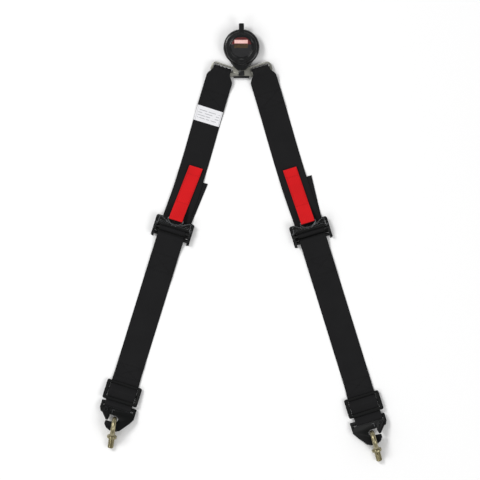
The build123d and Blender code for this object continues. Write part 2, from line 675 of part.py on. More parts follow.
def hook_plate():
    half = HOOK_BAR_WIDTH / 2
    points = [
        (-HOOK_HALF, half), (HOOK_HALF, half), (HOOK_HALF, -17.5), (27.0, -28.0), (14.5, -45.0),
        (8.0, -48.4), (-4.0, -49.4), (-11.5, -46.0), (-16.4, -39.5), (-16.6, -34.6),
        (-13.5, -33.0), (-2.0, -33.0), (-2.0, -19.8), (-25.5, -19.8), (-30.0, -18.0),
        (-HOOK_HALF, -11.0),
    ]
    outline = make_face(Polyline(*points, close=True))
    outline -= Pos(*HOOK_THROAT) * Circle(HOOK_THROAT_R)
    slot = Pos(0, -half - HOOK_SLOT / 2) * RectangleRounded(2 * HOOK_SLOT_HALF, HOOK_SLOT, HOOK_SLOT / 2 - 0.1)
    outline -= slot
    outline -= Pos(*GATE_PIVOT) * Circle(RIVET_R + 0.02)
    made = extrude(outline, amount=HOOK_T / 2, both=True)
    corners = made.edges().filter_by(Axis.Z).filter_by(lambda e: abs(e.center().X) > 10)
    corners = corners.filter_by(lambda e: e.center().Y > half - 0.1 or e.center().Y < -8.7)
    return fillet([e for e in corners if e.geom_type == GeomType.LINE], 1.2)


def gate_plate():
    """Flat gate on the hook's upper face that closes the mouth."""
    points = [
        (-27.0, -19.5), (-16.2, -32.6), (-12.6, -32.6), (-11.2, -25.0), (-13.0, -14.5),
        (-18.0, -9.2), (-25.0, -9.2), (-28.0, -13.5),
    ]
    outline = fillet(make_face(Polyline(*points, close=True)).vertices(), 1.6)
    outline -= Pos(*GATE_PIVOT) * Circle(RIVET_R + RUNNING_GAP)
    return Pos(0, 0, HOOK_T / 2 + 0.12) * extrude(outline, amount=GATE_T)


def gate_rivet():
    x, y = GATE_PIVOT
    z0, z1 = -HOOK_T / 2, HOOK_T / 2 + 0.12 + GATE_T + 0.12
    rivet = disc(RIVET_R, z0, z1, x, y)
    rivet += disc(RIVET_R + 1.6, z1, z1 + 1.1, x, y)
    return rivet + disc(RIVET_R + 1.6, z0 - 0.9, z0, x, y)


def gate_spring():
    """Flat spring beside the gate, standing on the plate."""
    z0 = HOOK_T / 2 + 0.02
    spring = slab(-9.2, -8.2, -17.5, -10.5, z0, z0 + 1.5)
    return spring + slab(-9.2, -4.5, -11.5, -10.5, z0, z0 + 1.5)


def eye_bolt(side):
    """Forged eye bolt: ring, collar and threaded shank, drawn along -Y with the ring upright."""
    ring = Rot(0, 90, 0) * Torus(EYE_RING_R, EYE_WIRE_R)
    outer = EYE_RING_R + EYE_WIRE_R
    collar = Location((0, -outer - EYE_COLLAR_T / 2 + 0.6, 0), (90, 0, 0)) * Cylinder(
        EYE_COLLAR_R, EYE_COLLAR_T
    )
    collar = fillet(collar.edges().filter_by(GeomType.CIRCLE), 0.8)
    start = outer + EYE_COLLAR_T - 0.6
    shank = Location((0, -start - EYE_SHANK_LENGTH / 2, 0), (90, 0, 0)) * Cylinder(
        EYE_SHANK_R, EYE_SHANK_LENGTH
    )
    shank = chamfer(shank.edges().filter_by(GeomType.CIRCLE).sort_by(Axis.Y)[0], 0.8)
    bolt = ring + collar + shank
    turn = EYE_TURN[side] * (1 if side == "left" else -1)
    droop = Location((0, -EYE_RING_R, 0), (EYE_DROOP + HOOK_TILT, 0, 0))
    return Location((*HOOK_THROAT, 0), (0, 0, turn)) * droop * bolt


def add_belt_parts(made, side):
    """All the nodes of one belt."""
    here = belt_frame(side)
    made[side + "_upper_webbing"] = here * upper_webbing(side)
    made[side + "_adjuster_frame"] = here * adjuster_frame(side)
    made[side + "_knurled_bar"] = here * knurled_bar(side)
    made[side + "_lever_pin"] = here * lever_pin(side)
    made[side + "_lever_spring"] = here * lever_spring(side)
    made[side + "_adjuster_lever"] = here * adjuster_lever(side)
    made[side + "_tab_bail"] = here * tab_bail(side)
    made[side + "_pull_tab_webbing"] = here * pull_tab_webbing(side)
    made[side + "_lower_webbing"] = here * lower_webbing(side)
    made[side + "_slide"] = here * slide_frame(side)
    at_hook = here * hook_place(side)
    made[side + "_hook_plate"] = at_hook * mirrored(hook_plate(), side)
    made[side + "_gate"] = at_hook * mirrored(gate_plate(), side)
    made[side + "_gate_rivet"] = at_hook * mirrored(gate_rivet(), side)
    made[side + "_gate_spring"] = at_hook * mirrored(gate_spring(), side)
    made[side + "_eye_bolt"] = at_hook * mirrored(eye_bolt(side), side)


def buckle_parts():
    """All the nodes of the buckle and the yoke."""
    dome, hub = knob()
    return {
        "buckle_base_plate": buckle_base_plate(),
        "buckle_housing": buckle_housing(),
        "buckle_post": buckle_post(),
        "captive_pin": captive_pin(),
        "housing_screws": housing_screws(),
        "release_knob": dome,
        "knob_cam": hub,
        "knob_badge": knob_badge(),
        "knob_return_spring": knob_return_spring(),
        "latch_lifter": latch_lifter(),
        "latch_pins": latch_pins(),
        "latch_springs": latch_springs(),
        "yoke_plate": yoke_plate(),
        "yoke_edge_guard": yoke_edge_guard(),
        "yoke_keeper": yoke_keeper(),
        "keeper_rivet": keeper_rivet(),
    }


os.makedirs("parts", exist_ok=True)
nodes = buckle_parts()
nodes["care_label"] = belt_frame("left") * care_label()
for one_side in SIDES:
    add_belt_parts(nodes, one_side)
for name, shape in nodes.items():
    export_step(shape, f"parts/{name}.step")
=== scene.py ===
# %% [markdown]
# # The lower section of a racing harness
#
# The real object is a rotary buckle with a steel yoke, two 50 mm belts with quick adjusters, and a
# snap hook on an eye bolt at the end of each belt. It lies flat, seen from above.
#
# The hard parts come from the CAD model and stay where they are. Cloth is made here, as surfaces
# worked out with numpy, because a belt that only bends is a formula: a line in the side view, and a
# section carried along it. A cloth simulation would move the belts off their bars.

# %% Load the frame
import json
import math

import bmesh
import bpy
import numpy as np
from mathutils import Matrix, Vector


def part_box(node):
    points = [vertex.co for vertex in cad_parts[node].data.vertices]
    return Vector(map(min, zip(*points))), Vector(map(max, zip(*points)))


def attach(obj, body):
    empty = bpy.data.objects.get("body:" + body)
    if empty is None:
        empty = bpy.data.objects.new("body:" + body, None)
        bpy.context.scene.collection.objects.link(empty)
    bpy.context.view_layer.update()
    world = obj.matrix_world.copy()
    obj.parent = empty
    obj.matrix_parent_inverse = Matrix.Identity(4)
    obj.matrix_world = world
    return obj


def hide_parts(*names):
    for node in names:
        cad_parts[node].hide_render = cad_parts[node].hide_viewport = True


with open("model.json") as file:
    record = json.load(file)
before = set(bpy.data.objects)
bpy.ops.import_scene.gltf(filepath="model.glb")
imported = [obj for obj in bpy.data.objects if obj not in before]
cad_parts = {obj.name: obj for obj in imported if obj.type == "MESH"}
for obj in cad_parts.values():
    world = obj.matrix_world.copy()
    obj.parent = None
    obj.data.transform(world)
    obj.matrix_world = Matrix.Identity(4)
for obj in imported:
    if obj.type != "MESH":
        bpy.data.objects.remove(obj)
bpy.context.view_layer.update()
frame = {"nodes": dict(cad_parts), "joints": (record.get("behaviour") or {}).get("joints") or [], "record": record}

MM = 0.001
SIDES = ("left", "right")
UP = np.array([0.0, 0.0, 1.0])

# %% [markdown]
# ## Where things are
#
# Every place comes from the frame. A joint's position is the middle of a bar or a pin, and its axis
# gives the direction across a belt. Each belt then has its own ruler: u across it, v down it from
# its yoke bar, and z up, all in millimetres.


# %% The belts' own rulers
def joint(name):
    """The record of one joint."""
    return next(j for j in frame["joints"] if j["name"] == name)


def middle(node):
    """Centre of a CAD node's box, in metres."""
    low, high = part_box(node)
    return (np.array(low) + np.array(high)) / 2


class Belt:
    """One belt's ruler: origin on the floor under the yoke bar, and three directions."""

    def __init__(self, side):
        bar = joint(side + "_strap_swing")
        self.side = side
        self.origin = np.array(bar["pos_m"]) * [1, 1, 0]
        self.across = -np.array(bar["axis"])
        self.down = np.cross(self.across, UP)

    def place(self, u, v, z):
        """Points of the belt's ruler in the row frame: origin + u across + v down + z up."""
        u, v, z = np.broadcast_arrays(u, v, z)
        offset = u[..., None] * self.across + v[..., None] * self.down + z[..., None] * UP
        return self.origin + offset * MM

    def where(self, point):
        """(u, v, z) of a point of the row frame."""
        offset = (np.array(point) - self.origin) / MM
        return offset @ self.across, offset @ self.down, offset[2]

    def joint_at(self, name):
        """(v, z) of one of this side's joints."""
        return self.where(joint(f"{self.side}_{name}")["pos_m"])[1:]

    def node_at(self, name):
        """(v, z) of the middle of one of this side's nodes."""
        return self.where(middle(f"{self.side}_{name}"))[1:]


BELTS = {side: Belt(side) for side in SIDES}
for belt in BELTS.values():
    print(belt.side, "adjuster bar at", [round(c, 1) for c in belt.joint_at("lower_strap_swing")])

# %% [markdown]
# ## Grids
#
# Nearly every new piece is a grid: rows along it and columns round it. The mesh needs the points,
# four corners for each face, and a cap at each end of a closed tube. The normals are recalculated
# last, when the shell is closed, so they all point outwards.


# %% Grids into meshes
def grid_faces(rows, columns, wrap_rows=False, wrap_columns=False):
    """Corner numbers of every face of a rows by columns grid, as an array of fours."""
    index = np.arange(rows * columns).reshape(rows, columns)
    if wrap_rows:
        index = np.vstack([index, index[:1]])
    if wrap_columns:
        index = np.hstack([index, index[:, :1]])
    corners = (index[:-1, :-1], index[1:, :-1], index[1:, 1:], index[:-1, 1:])
    return np.stack(corners, -1).reshape(-1, 4)


def circle(count):
    """Even angles round a circle."""
    return np.linspace(0, 2 * np.pi, count, endpoint=False)


def grid_object(name, grids, material, wrap_rows=False, caps=True, sharp=40.0):
    """One object from closed tubes. Each entry of grids is (points, uv) with rows along the tube."""
    points, faces, uv, start = [], [], [], 0
    for grid, flat in grids:
        rows, columns = grid.shape[:2]
        faces += (grid_faces(rows, columns, wrap_rows, True) + start).tolist()
        if caps and not wrap_rows:
            faces.append(list(range(start, start + columns)))
            faces.append(list(range(start + rows * columns - 1, start + (rows - 1) * columns - 1, -1)))
        points.append(grid.reshape(-1, 3))
        uv.append(np.zeros((rows * columns, 2)) if flat is None else flat.reshape(-1, 2))
        start += rows * columns
    mesh = bpy.data.meshes.new(name)
    mesh.from_pydata(np.concatenate(points), [], faces)
    corner = np.zeros(len(mesh.loops), np.int32)
    mesh.loops.foreach_get("vertex_index", corner)
    mesh.uv_layers.new(name="surface").data.foreach_set("uv", np.concatenate(uv)[corner].ravel())
    return finished(name, mesh, material, sharp)


def new_object(name, data):
    """A new object in the scene."""
    thing = bpy.data.objects.new(name, data)
    bpy.context.scene.collection.objects.link(thing)
    return thing


def finished(name, mesh, material, sharp=40.0):
    """The mesh as an object, with outward normals, smooth but for edges sharper than an angle."""
    work = bmesh.new()
    work.from_mesh(mesh)
    bmesh.ops.recalc_face_normals(work, faces=work.faces)
    for edge in work.edges:
        edge.smooth = len(edge.link_faces) == 2 and edge.calc_face_angle(0.0) < math.radians(sharp)
    for face in work.faces:
        face.smooth = True
    work.to_mesh(mesh)
    work.free()
    mesh.materials.append(material)
    return new_object(name, mesh)


def mounted(piece, body, slot, *nodes):
    """The piece rides on a body and stands for these CAD nodes, which are hidden. The slot is not used."""
    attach(piece, body)
    if nodes:
        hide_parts(*nodes)
    print(f"{piece.name}: {len(piece.data.polygons)} faces")


# %% [markdown]
# ## Materials
#
# Colours are written as sRGB hex, as on a colour chart, and one function turns them into the linear
# numbers that the shader needs. One small function adds a node with its settings and its links.


# %% Helpers for materials
def colour(hex_code):
    """Linear colour of an sRGB hex code: a channel is c / 12.92 or ((c + 0.055) / 1.055) ** 2.4."""
    c = np.array([int(hex_code[i : i + 2], 16) for i in (1, 3, 5)]) / 255
    return (*np.where(c <= 0.04045, c / 12.92, ((c + 0.055) / 1.055) ** 2.4), 1.0)


def wire(tree, node, **given):
    """Sets up a node. Keys in small letters are its settings. Keys in capitals and i0, i1 ... are its
    inputs: each is joined to a socket or to another node's first output, or set to a value."""
    for key, value in given.items():
        numbered = key[0] == "i" and key[1:].isdigit()
        if key[0].islower() and not numbered:
            setattr(node, key, value)
            continue
        socket = node.inputs[int(key[1:]) if numbered else key.replace("_", " ")]
        if isinstance(value, bpy.types.Node):
            value = value.outputs[0]
        if isinstance(value, bpy.types.NodeSocket):
            tree.links.new(value, socket)
        else:
            socket.default_value = value
    return node


def add(tree, kind, operation=None, **given):
    """Adds a shader node with its settings and links. Math nodes also have an operation."""
    node = tree.nodes.new("ShaderNode" + kind)
    if operation:
        node.operation = operation
    return wire(tree, node, **given)


def new_material(name, base, roughness, metallic=0.0, **sockets):
    """A material with its shader's constant values set on the shader's own sockets."""
    material = bpy.data.materials.new(name)
    material.use_nodes = True
    material.diffuse_color = colour(base)
    tree = material.node_tree
    shader = tree.nodes["Principled BSDF"]
    wire(tree, shader, Base_Color=colour(base), Roughness=roughness, Metallic=metallic, **sockets)
    return material, tree, shader


# %% [markdown]
# ### Webbing
#
# Harness webbing is polyester woven in a herringbone: ribs of yarn run along it, and the yarns in
# neighbouring ribs lean opposite ways. The pattern follows the cloth, so it is drawn on the belt's
# UV map, where one unit is 10 mm. A real rib is about 1.6 mm wide and its yarn 0.5 mm, too fine to
# show in the render, so they are drawn about 3 mm and 2.4 mm. A little sheen softens the edges.
# Each yarn's crown is painted lighter and the hollows between ribs darker, a painted highlight and
# painted shade from the weave's relief, over random patches of tone.


# %% Webbing
PATCH = 35.0
WEAVE_DEPTH = 0.16


def webbing_material(name, dark, light, rib_mm, yarn_mm, sheen):
    """Herringbone: a yarn's height is sin(2 pi (y / yarn + lean)); lean goes 0 to 1 across a rib.
    The colour follows that height too: a painted highlight on the crowns, painted shade between ribs.
    """
    material, tree, shader = new_material(
        name, dark, 0.82, Sheen_Weight=sheen, Sheen_Roughness=0.5, Specular_IOR_Level=0.2
    )
    at = add(tree, "TexCoord")
    axes = add(tree, "SeparateXYZ", Vector=at.outputs["UV"])
    x, y = axes.outputs[0], axes.outputs[1]
    ribs = add(tree, "Math", "MULTIPLY", i0=x, i1=10 / rib_mm)
    lean = add(tree, "Math", "PINGPONG", i0=ribs, i1=1.0)
    turns = add(tree, "Math", "MULTIPLY_ADD", i0=y, i1=10 / yarn_mm, i2=lean)
    phase = add(tree, "Math", "MULTIPLY", i0=turns, i1=2 * math.pi)
    wave = add(tree, "Math", "SINE", i0=phase)
    yarn = add(tree, "Math", "MULTIPLY_ADD", i0=wave, i1=0.5, i2=0.5)
    from_edge = add(tree, "Math", "PINGPONG", i0=ribs, i1=0.5)
    crown = add(tree, "Math", "POWER", i0=from_edge, i1=0.5)
    height = add(tree, "Math", "MULTIPLY", i0=yarn, i1=crown)
    patches = add(tree, "TexNoise", Vector=at.outputs["Object"], Scale=1 / (PATCH * MM), Detail=3.0)
    fade = add(tree, "Math", "MULTIPLY", i0=patches, i1=0.45)
    # Painted highlight on the yarns' crowns and painted shade between the ribs, plus random patches of tone.
    painted_crown_light_and_patches = add(tree, "Math", "MULTIPLY_ADD", i0=height, i1=0.55, i2=fade)
    paint = add(tree, "Mix", data_type="RGBA", i0=painted_crown_light_and_patches, i6=colour(dark), i7=colour(light))
    bump = add(tree, "Bump", Height=height, Distance=WEAVE_DEPTH * MM)
    wire(tree, shader, Base_Color=paint.outputs[2], Normal=bump)
    return material


BLACK_WEBBING = webbing_material("woven_black_polyester", "#08080a", "#1b1b1c", 3.2, 2.4, 0.04)
RED_WEBBING = webbing_material("woven_red_polyester", "#b4070d", "#ea181e", 3.0, 2.4, 0.05)
print("webbing:", BLACK_WEBBING.name, RED_WEBBING.name)

# %% [markdown]
# ### Threads, label and hard surfaces
#
# Stitching thread is a round bonded polyester cord. Castings and pressings are mostly one colour,
# but a real surface is never quite even: a fine grain breaks up its gloss. Edges are painted
# lighter, partly as rubbed wear and partly as a painted highlight. The Bevel node gives the normal
# of a rounded edge, and where it differs from the real normal there is an edge, so that's where the
# lighter edge is painted.


# %% Other materials
EDGE_RUB_AND_HIGHLIGHT_REACH = 0.8
EDGE_RUB_AND_HIGHLIGHT_FROM, EDGE_RUB_AND_HIGHLIGHT_FULL = 0.93, 0.75
GRAIN_DEPTH = 0.03


def thread_material(name, base):
    """Bonded thread: satin, and near in colour to the webbing it sews."""
    material, tree, shader = new_material(name, base, 0.7, Specular_IOR_Level=0.2)
    at = add(tree, "TexCoord").outputs["Object"]
    twist = add(tree, "TexNoise", Vector=at, Scale=1 / (0.6 * MM), Detail=3.0)
    wire(tree, shader, Normal=add(tree, "Bump", Height=twist, Distance=0.05 * MM))
    return material


def coated_steel(name, base, rubbed_and_highlit, roughness, grain_mm, rub_and_highlight_strength, depth_mm=GRAIN_DEPTH, gloss=0.4):
    """Black e-coat or moulding with a fine grain, and edges painted lighter: rubbed wear and a painted highlight.
    """
    material, tree, shader = new_material(name, base, roughness, Specular_IOR_Level=gloss)
    at = add(tree, "TexCoord").outputs["Object"]
    grain = add(tree, "TexNoise", Vector=at, Scale=1 / (grain_mm * MM), Detail=3.0)
    flat = add(tree, "NewGeometry").outputs["Normal"]
    eased = add(tree, "Bevel", samples=4, i0=EDGE_RUB_AND_HIGHLIGHT_REACH * MM)
    likeness = add(tree, "VectorMath", "DOT_PRODUCT", i0=flat, i1=eased).outputs[1]
    # Edges painted lighter where the Bevel normal differs: partly rubbed wear, partly a painted highlight.
    rub_and_highlight = add(tree, "MapRange", i0=likeness, i1=EDGE_RUB_AND_HIGHLIGHT_FROM, i2=EDGE_RUB_AND_HIGHLIGHT_FULL, i3=0.0, i4=rub_and_highlight_strength)
    chips = add(tree, "TexNoise", Vector=at, Scale=1 / (4 * MM), Detail=3.0)
    uneven = add(tree, "Math", "ADD", i0=chips, i1=0.35)
    worn_and_highlit = add(tree, "Math", "MULTIPLY", i0=rub_and_highlight, i1=uneven)
    paint = add(tree, "Mix", data_type="RGBA", i0=worn_and_highlit, i6=colour(base), i7=colour(rubbed_and_highlit))
    dull = add(tree, "MapRange", i0=grain, i1=0.3, i2=0.7, i3=roughness - 0.06, i4=roughness + 0.08)
    bump = add(tree, "Bump", Height=grain, Distance=depth_mm * MM)
    wire(tree, shader, Base_Color=paint.outputs[2], Roughness=dull, Normal=bump)
    return material


def plated_metal(name, base, tint, roughness, grain_mm, stretch=(1.0, 1.0, 1.0)):
    """Plated steel: a metal whose colour wanders between two tints, with a rolled or forged grain."""
    material, tree, shader = new_material(name, base, roughness, 1.0)
    at = add(tree, "TexCoord").outputs["Object"]
    drawn_out = add(tree, "Mapping", Vector=at, Scale=stretch)
    grain = add(tree, "TexNoise", Vector=drawn_out, Scale=1 / (grain_mm * MM), Detail=4.0)
    patches = add(tree, "TexNoise", Vector=at, Scale=1 / (9 * MM), Detail=3.0)
    half = add(tree, "Math", "MULTIPLY", i0=patches, i1=0.5)
    shade = add(tree, "Math", "MULTIPLY_ADD", i0=grain, i1=0.5, i2=half)
    paint = add(tree, "Mix", data_type="RGBA", i0=shade, i6=colour(base), i7=colour(tint))
    dull = add(tree, "MapRange", i0=grain, i1=0.3, i2=0.7, i3=roughness - 0.08, i4=roughness + 0.1)
    bump = add(tree, "Bump", Height=grain, Distance=GRAIN_DEPTH * MM)
    wire(tree, shader, Base_Color=paint.outputs[2], Roughness=dull, Normal=bump)
    return material


BLACK_THREAD = thread_material("black_bonded_thread", "#0d0d0e")
RED_THREAD = thread_material("red_bonded_thread", "#a80d12")
MOULDED_BLACK = coated_steel("moulded_black_nylon", "#08090a", "#1c1e20", 0.36, 1.0, 0.35)
GLOSS_BLACK = coated_steel("gloss_black_lacquer", "#050607", "#141618", 0.18, 1.4, 0.3, 0.01)
# Steel edges painted lighter, as rubbed wear and a painted highlight, in full on the lever.
BLACK_ECOAT = coated_steel("black_e_coated_steel", "#060707", "#74777a", 0.46, 0.7, 0.6, gloss=0.16)
RUBBED_AND_HIGHLIT_ECOAT = coated_steel("rubbed_black_e_coat", "#060707", "#a4a7aa", 0.46, 0.7, 1.0, gloss=0.16)
ZINC_PLATE = plated_metal("clear_zinc_plate", "#787871", "#98978f", 0.45, 0.9, (1.0, 4.0, 1.0))
YELLOW_ZINC = plated_metal("yellow_passivated_zinc", "#6b5f48", "#b4ae8c", 0.34, 1.6)
BRIGHT_STEEL = plated_metal("ground_bright_steel", "#9a9b9d", "#b9babc", 0.3, 0.6)
SPRING_STEEL = plated_metal("spring_steel", "#4a4c4e", "#68696b", 0.32, 0.6)
CAST_ALLOY = plated_metal("cast_zinc_alloy", "#7f8184", "#9c9ea0", 0.5, 0.8)
print("materials so far:", len(bpy.data.materials))

# %% [markdown]
# ## The belts
#
# A belt bends in its side view only. Its line there runs straight between bars and turns round each
# one, so a route is a list of circles (v, z, turn): turn is the radius, positive where the belt
# turns left and negative where it turns right. Between two circles the belt lies on their common
# tangent. Across the belt, the section is a thin bar with round edges.


# %% A route in the side view
def follow(route, gap=3.0):
    """Points (v, z) and headings along a route, with about one point every gap millimetres.

    The heading between two circles is the angle of the line of their centres plus the arcsine of
    (turn 1 - turn 2) / distance. Round a circle the belt is at (v + turn sin h, z - turn cos h).
    """
    v, z, turn = (np.array(column, float) for column in zip(*route))
    dv, dz = np.diff(v), np.diff(z)
    heading = np.arctan2(dz, dv) + np.arcsin((turn[:-1] - turn[1:]) / np.hypot(dv, dz))
    points, headings = [], []
    for k in range(len(route)):
        before, after = heading[max(k - 1, 0)], heading[min(k, len(heading) - 1)]
        sweep = (after - before) % (2 * math.pi) if turn[k] else 0.0
        if turn[k] < 0:
            sweep -= 2 * math.pi
        angle = before + np.linspace(0, sweep, int(abs(sweep) / 0.12) + 2 if sweep else 1)
        arc = np.stack([v[k] + turn[k] * np.sin(angle), z[k] - turn[k] * np.cos(angle)], 1)
        if points:
            count = int(np.hypot(*(arc[0] - points[-1][-1])) / gap)
            share = np.linspace(0, 1, count + 2)[1:-1, None]
            points.append(points[-1][-1:] * (1 - share) + arc[:1] * share)
            headings.append(np.full(count, before))
        points.append(arc)
        headings.append(angle)
    keep = np.concatenate([[True], np.hypot(*np.diff(np.concatenate(points), axis=0).T) > 1e-4])
    return np.concatenate(points)[keep], np.concatenate(headings)[keep]


def section(half, thickness, across=17, round_steps=4):
    """Closed outline of a thin bar, as (u, n): two flat sides and two half-round edges."""
    edge = thickness / 2
    flat = np.linspace(-1, 1, across) * (half - edge)
    bend = np.linspace(0, np.pi, round_steps + 2)[1:-1]
    one_side = np.stack([
        np.concatenate([flat, half - edge + edge * np.sin(bend)]),
        np.concatenate([np.full(across, edge), edge * np.cos(bend)]),
    ])
    return np.hstack([one_side, -one_side])


def ease(x, low, high):
    """Smooth step from 0 at low to 1 at high: 3t^2 - 2t^3."""
    t = np.clip((np.asarray(x, float) - low) / (high - low), 0, 1)
    return t * t * (3 - 2 * t)


def ribbon(ruler, route, width, thickness, narrow=None, aside=None, lift=None, lean=0.0):
    """Points and UV of a belt that follows a route.

    A point is the route's point, plus u times narrow(v) across the belt, plus n along the route's
    normal. aside(s, v) moves a row sideways. lift(u, v, s) raises the cloth along its normal, in
    full where the belt's heading is lean, and not at all where it lies upside down.
    """
    line, heading = follow(route)
    length = np.concatenate([[0], np.cumsum(np.hypot(*np.diff(line, axis=0).T))])
    u, n = section(width / 2, thickness)
    s = length[:, None] + 0 * u
    v = line[:, :1] + 0 * u
    across = u * (1 if narrow is None else narrow(v))
    outward = np.cos(heading - lean)[:, None].clip(0, 1)
    raised = n + (0 if lift is None else lift(across, v, s) * outward)
    shift = 0 if aside is None else aside(s, v)
    points = ruler.place(
        across + shift,
        v - raised * np.sin(heading)[:, None],
        line[:, 1:] + raised * np.cos(heading)[:, None],
    )
    uv = np.stack([u + 0 * s, s], -1) / 10
    return points, uv, length[-1]


# %% [markdown]
# ### Sizes of the cloth
#
# The webbing is 1.5 mm thick. Each loop turns a quarter of a millimetre clear of the corners of
# its bar, as in the CAD model, so that it can swing without rubbing.

# %% Sizes of the cloth
BELT_WIDTH = 50.0
WEB = 1.5
LAYER_GAP = 0.05
TURN_GAP = 0.25
ONE_LAYER = WEB / 2
TWO_LAYERS = ONE_LAYER + WEB + LAYER_GAP
SEWN_LENGTH = 70.0
YOKE_BAR = (8.0, 3.0)
HOOK_BAR = (6.0, 3.5)
GATHERED_HALF = 16.2
ROLLER_R = 3.0
LOAD_BAR_R = 3.0
TAIL_LENGTH = 99.5
EASY_BEND = 20.0
STEP_RUN = 18.0


def round_bar(bar):
    """Radius of the middle of webbing that turns round a flat bar's corners."""
    return math.hypot(bar[0] / 2, bar[1] / 2) + TURN_GAP + WEB / 2


# %% [markdown]
# ### The upper belts
#
# One length of webbing: doubled back and sewn round the yoke's bar, flat down to the adjuster,
# round the knurled bar and back under itself as a loose tail, which fans out to one side. In the
# yoke's slot it has only 35 mm of room, so it gathers in soft pleats that open over 17 mm.


# %% Upper belts
TAIL_FAN = {"left": (2.5, 5.3), "right": (0.3, 3.9)}
OUTER_SHOULDER = {"left": (-4, 12), "right": (-4, 14)}
INNER_SHOULDER = (0, 17)
PLEAT_WIDTH = 8.2
SLOT_FILL = 4.1


def shoulders(side, v):
    """How far the cloth reaches to its outer and its inner side: 16 mm in the slot, 25 mm below."""
    opening = BELT_WIDTH / 2 - GATHERED_HALF
    outer = GATHERED_HALF + opening * ease(v, *OUTER_SHOULDER[side])
    return outer, GATHERED_HALF + opening * ease(v, *INNER_SHOULDER)


def pleats(u, v, s):
    """Soft folds, deepest in the slot, that fade out down the belt, and a slow ripple."""
    crowded = 1 - ease(v, -2, 12)
    fade = 1 - ease(v, 2, 34)
    wave = 1 + np.cos(2 * np.pi * u / PLEAT_WIDTH + 0.8 * np.sin(u / 5.0) + 0.6)
    fold = (0.45 * fade + 0.25 * crowded) * wave * (1 - (u / 27) ** 2) + SLOT_FILL * crowded
    ripple = 0.18 * (1 + np.sin(v / 31.0 + u / 60)) * ease(v, 40, 90)
    return fold + ripple


def upper_route(ruler):
    """The whole way of an upper belt's webbing, from its sewn end to the end of its tail."""
    _, bar_z = ruler.joint_at("strap_swing")
    at, roller_z = ruler.node_at("knurled_bar")
    tail_end = at - TAIL_LENGTH
    drop = 12.0
    over_strip = roller_z - ROLLER_R - 0.1 - WEB / 2
    return [
        (SEWN_LENGTH, ONE_LAYER, 0),
        (0, bar_z, -round_bar(YOKE_BAR)),
        (36, TWO_LAYERS + EASY_BEND, EASY_BEND),
        (SEWN_LENGTH + 1, TWO_LAYERS - EASY_BEND, -EASY_BEND),
        (SEWN_LENGTH + STEP_RUN, ONE_LAYER + EASY_BEND, EASY_BEND),
        (tail_end - STEP_RUN, ONE_LAYER + EASY_BEND, EASY_BEND),
        (tail_end - 2, TWO_LAYERS - EASY_BEND, -EASY_BEND),
        (at - 34, TWO_LAYERS + EASY_BEND, EASY_BEND),
        (at, roller_z, -(ROLLER_R + 0.1 + WEB / 2)),
        (at - 21.5, over_strip - drop, drop),
        (at - 36.5, ONE_LAYER + drop, -drop),
        (tail_end, ONE_LAYER, 0),
    ]


BOW = {"left": 2.8, "right": -2.2}
OUTWARD = {side: -math.copysign(1, BOW[side]) for side in SIDES}


def bow(side, v):
    """A belt never lies quite straight: it bows inwards by 2 to 3 mm between yoke and adjuster."""
    return BOW[side] * ease(v, 30, 190) * (1 - ease(v, 215, 295))


def fan(ruler, total):
    """Sideways move: the belt's bow, then a short shift at the roller and the tail's lean."""
    shift, lean = TAIL_FAN[ruler.side]
    slope = math.tan(math.radians(lean))

    def aside(s, v):
        back = np.clip(s - (total - TAIL_LENGTH), 0, None)
        outer, inner = shoulders(ruler.side, v)
        askew = OUTWARD[ruler.side] * (outer - inner) / 2
        own = np.where(back > 0, 0, bow(ruler.side, v) + askew)
        return own + shift * ease(back, 0, 12) + slope * back

    return aside


for ruler in BELTS.values():
    route = upper_route(ruler)
    total = ribbon(ruler, route, BELT_WIDTH, WEB)[2]
    points, uv, total = ribbon(
        ruler, route, BELT_WIDTH, WEB, lambda v: sum(shoulders(ruler.side, v)) / BELT_WIDTH,
        fan(ruler, total), pleats, lean=0.6,
    )
    belt = grid_object(ruler.side + "_upper_belt", [(points, uv)], BLACK_WEBBING)
    mounted(belt, ruler.side + "_upper_strap", "black_webbing", ruler.side + "_upper_webbing")
    print(f"{belt.name}: {total:.0f} mm of webbing")

# %% [markdown]
# ### The lower belts
#
# A sewn loop round the adjuster's load bar, a flat run, then the way through the slide: under its
# top bar, over its middle bar and under its end bar. Last comes a loop round the hook's bar, and
# the end is folded back under the slide and sewn.

# %% Lower belts
SLIDE_BARS = ((-16.0, 5.0), (-1.0, 5.0), (15.0, 6.0))
SLIDE_TILT = math.radians(6.4)
RETURN_LENGTH = 80.0


def lower_route(ruler):
    """The way of a lower belt's webbing, from its sewn end to the end that is folded back."""
    start, load_z = ruler.joint_at("lower_strap_swing")
    slide_v, slide_z = ruler.node_at("slide")
    hook_v, hook_z = ruler.joint_at("hook_swing")
    end = hook_v - RETURN_LENGTH
    bars = [
        (
            slide_v + (at + 0.25) * math.cos(SLIDE_TILT),
            slide_z + (at + 0.25) * math.sin(SLIDE_TILT),
            width / 2 + LAYER_GAP + WEB / 2,
        )
        for at, width in SLIDE_BARS
    ]
    bars[1] = (*bars[1][:2], -bars[1][2])
    return [
        (start + SEWN_LENGTH, ONE_LAYER, 0),
        (start, load_z, -(LOAD_BAR_R + TURN_GAP + WEB / 2)),
        (start + 30, TWO_LAYERS + EASY_BEND, EASY_BEND),
        (start + SEWN_LENGTH + 1, TWO_LAYERS - EASY_BEND, -EASY_BEND),
        (start + SEWN_LENGTH + STEP_RUN, ONE_LAYER + EASY_BEND, EASY_BEND),
        (end - STEP_RUN, ONE_LAYER + EASY_BEND, EASY_BEND),
        (end - 2, TWO_LAYERS - EASY_BEND, -EASY_BEND),
        *bars,
        (hook_v, hook_z, -round_bar(HOOK_BAR)),
        (end, ONE_LAYER, 0),
    ]


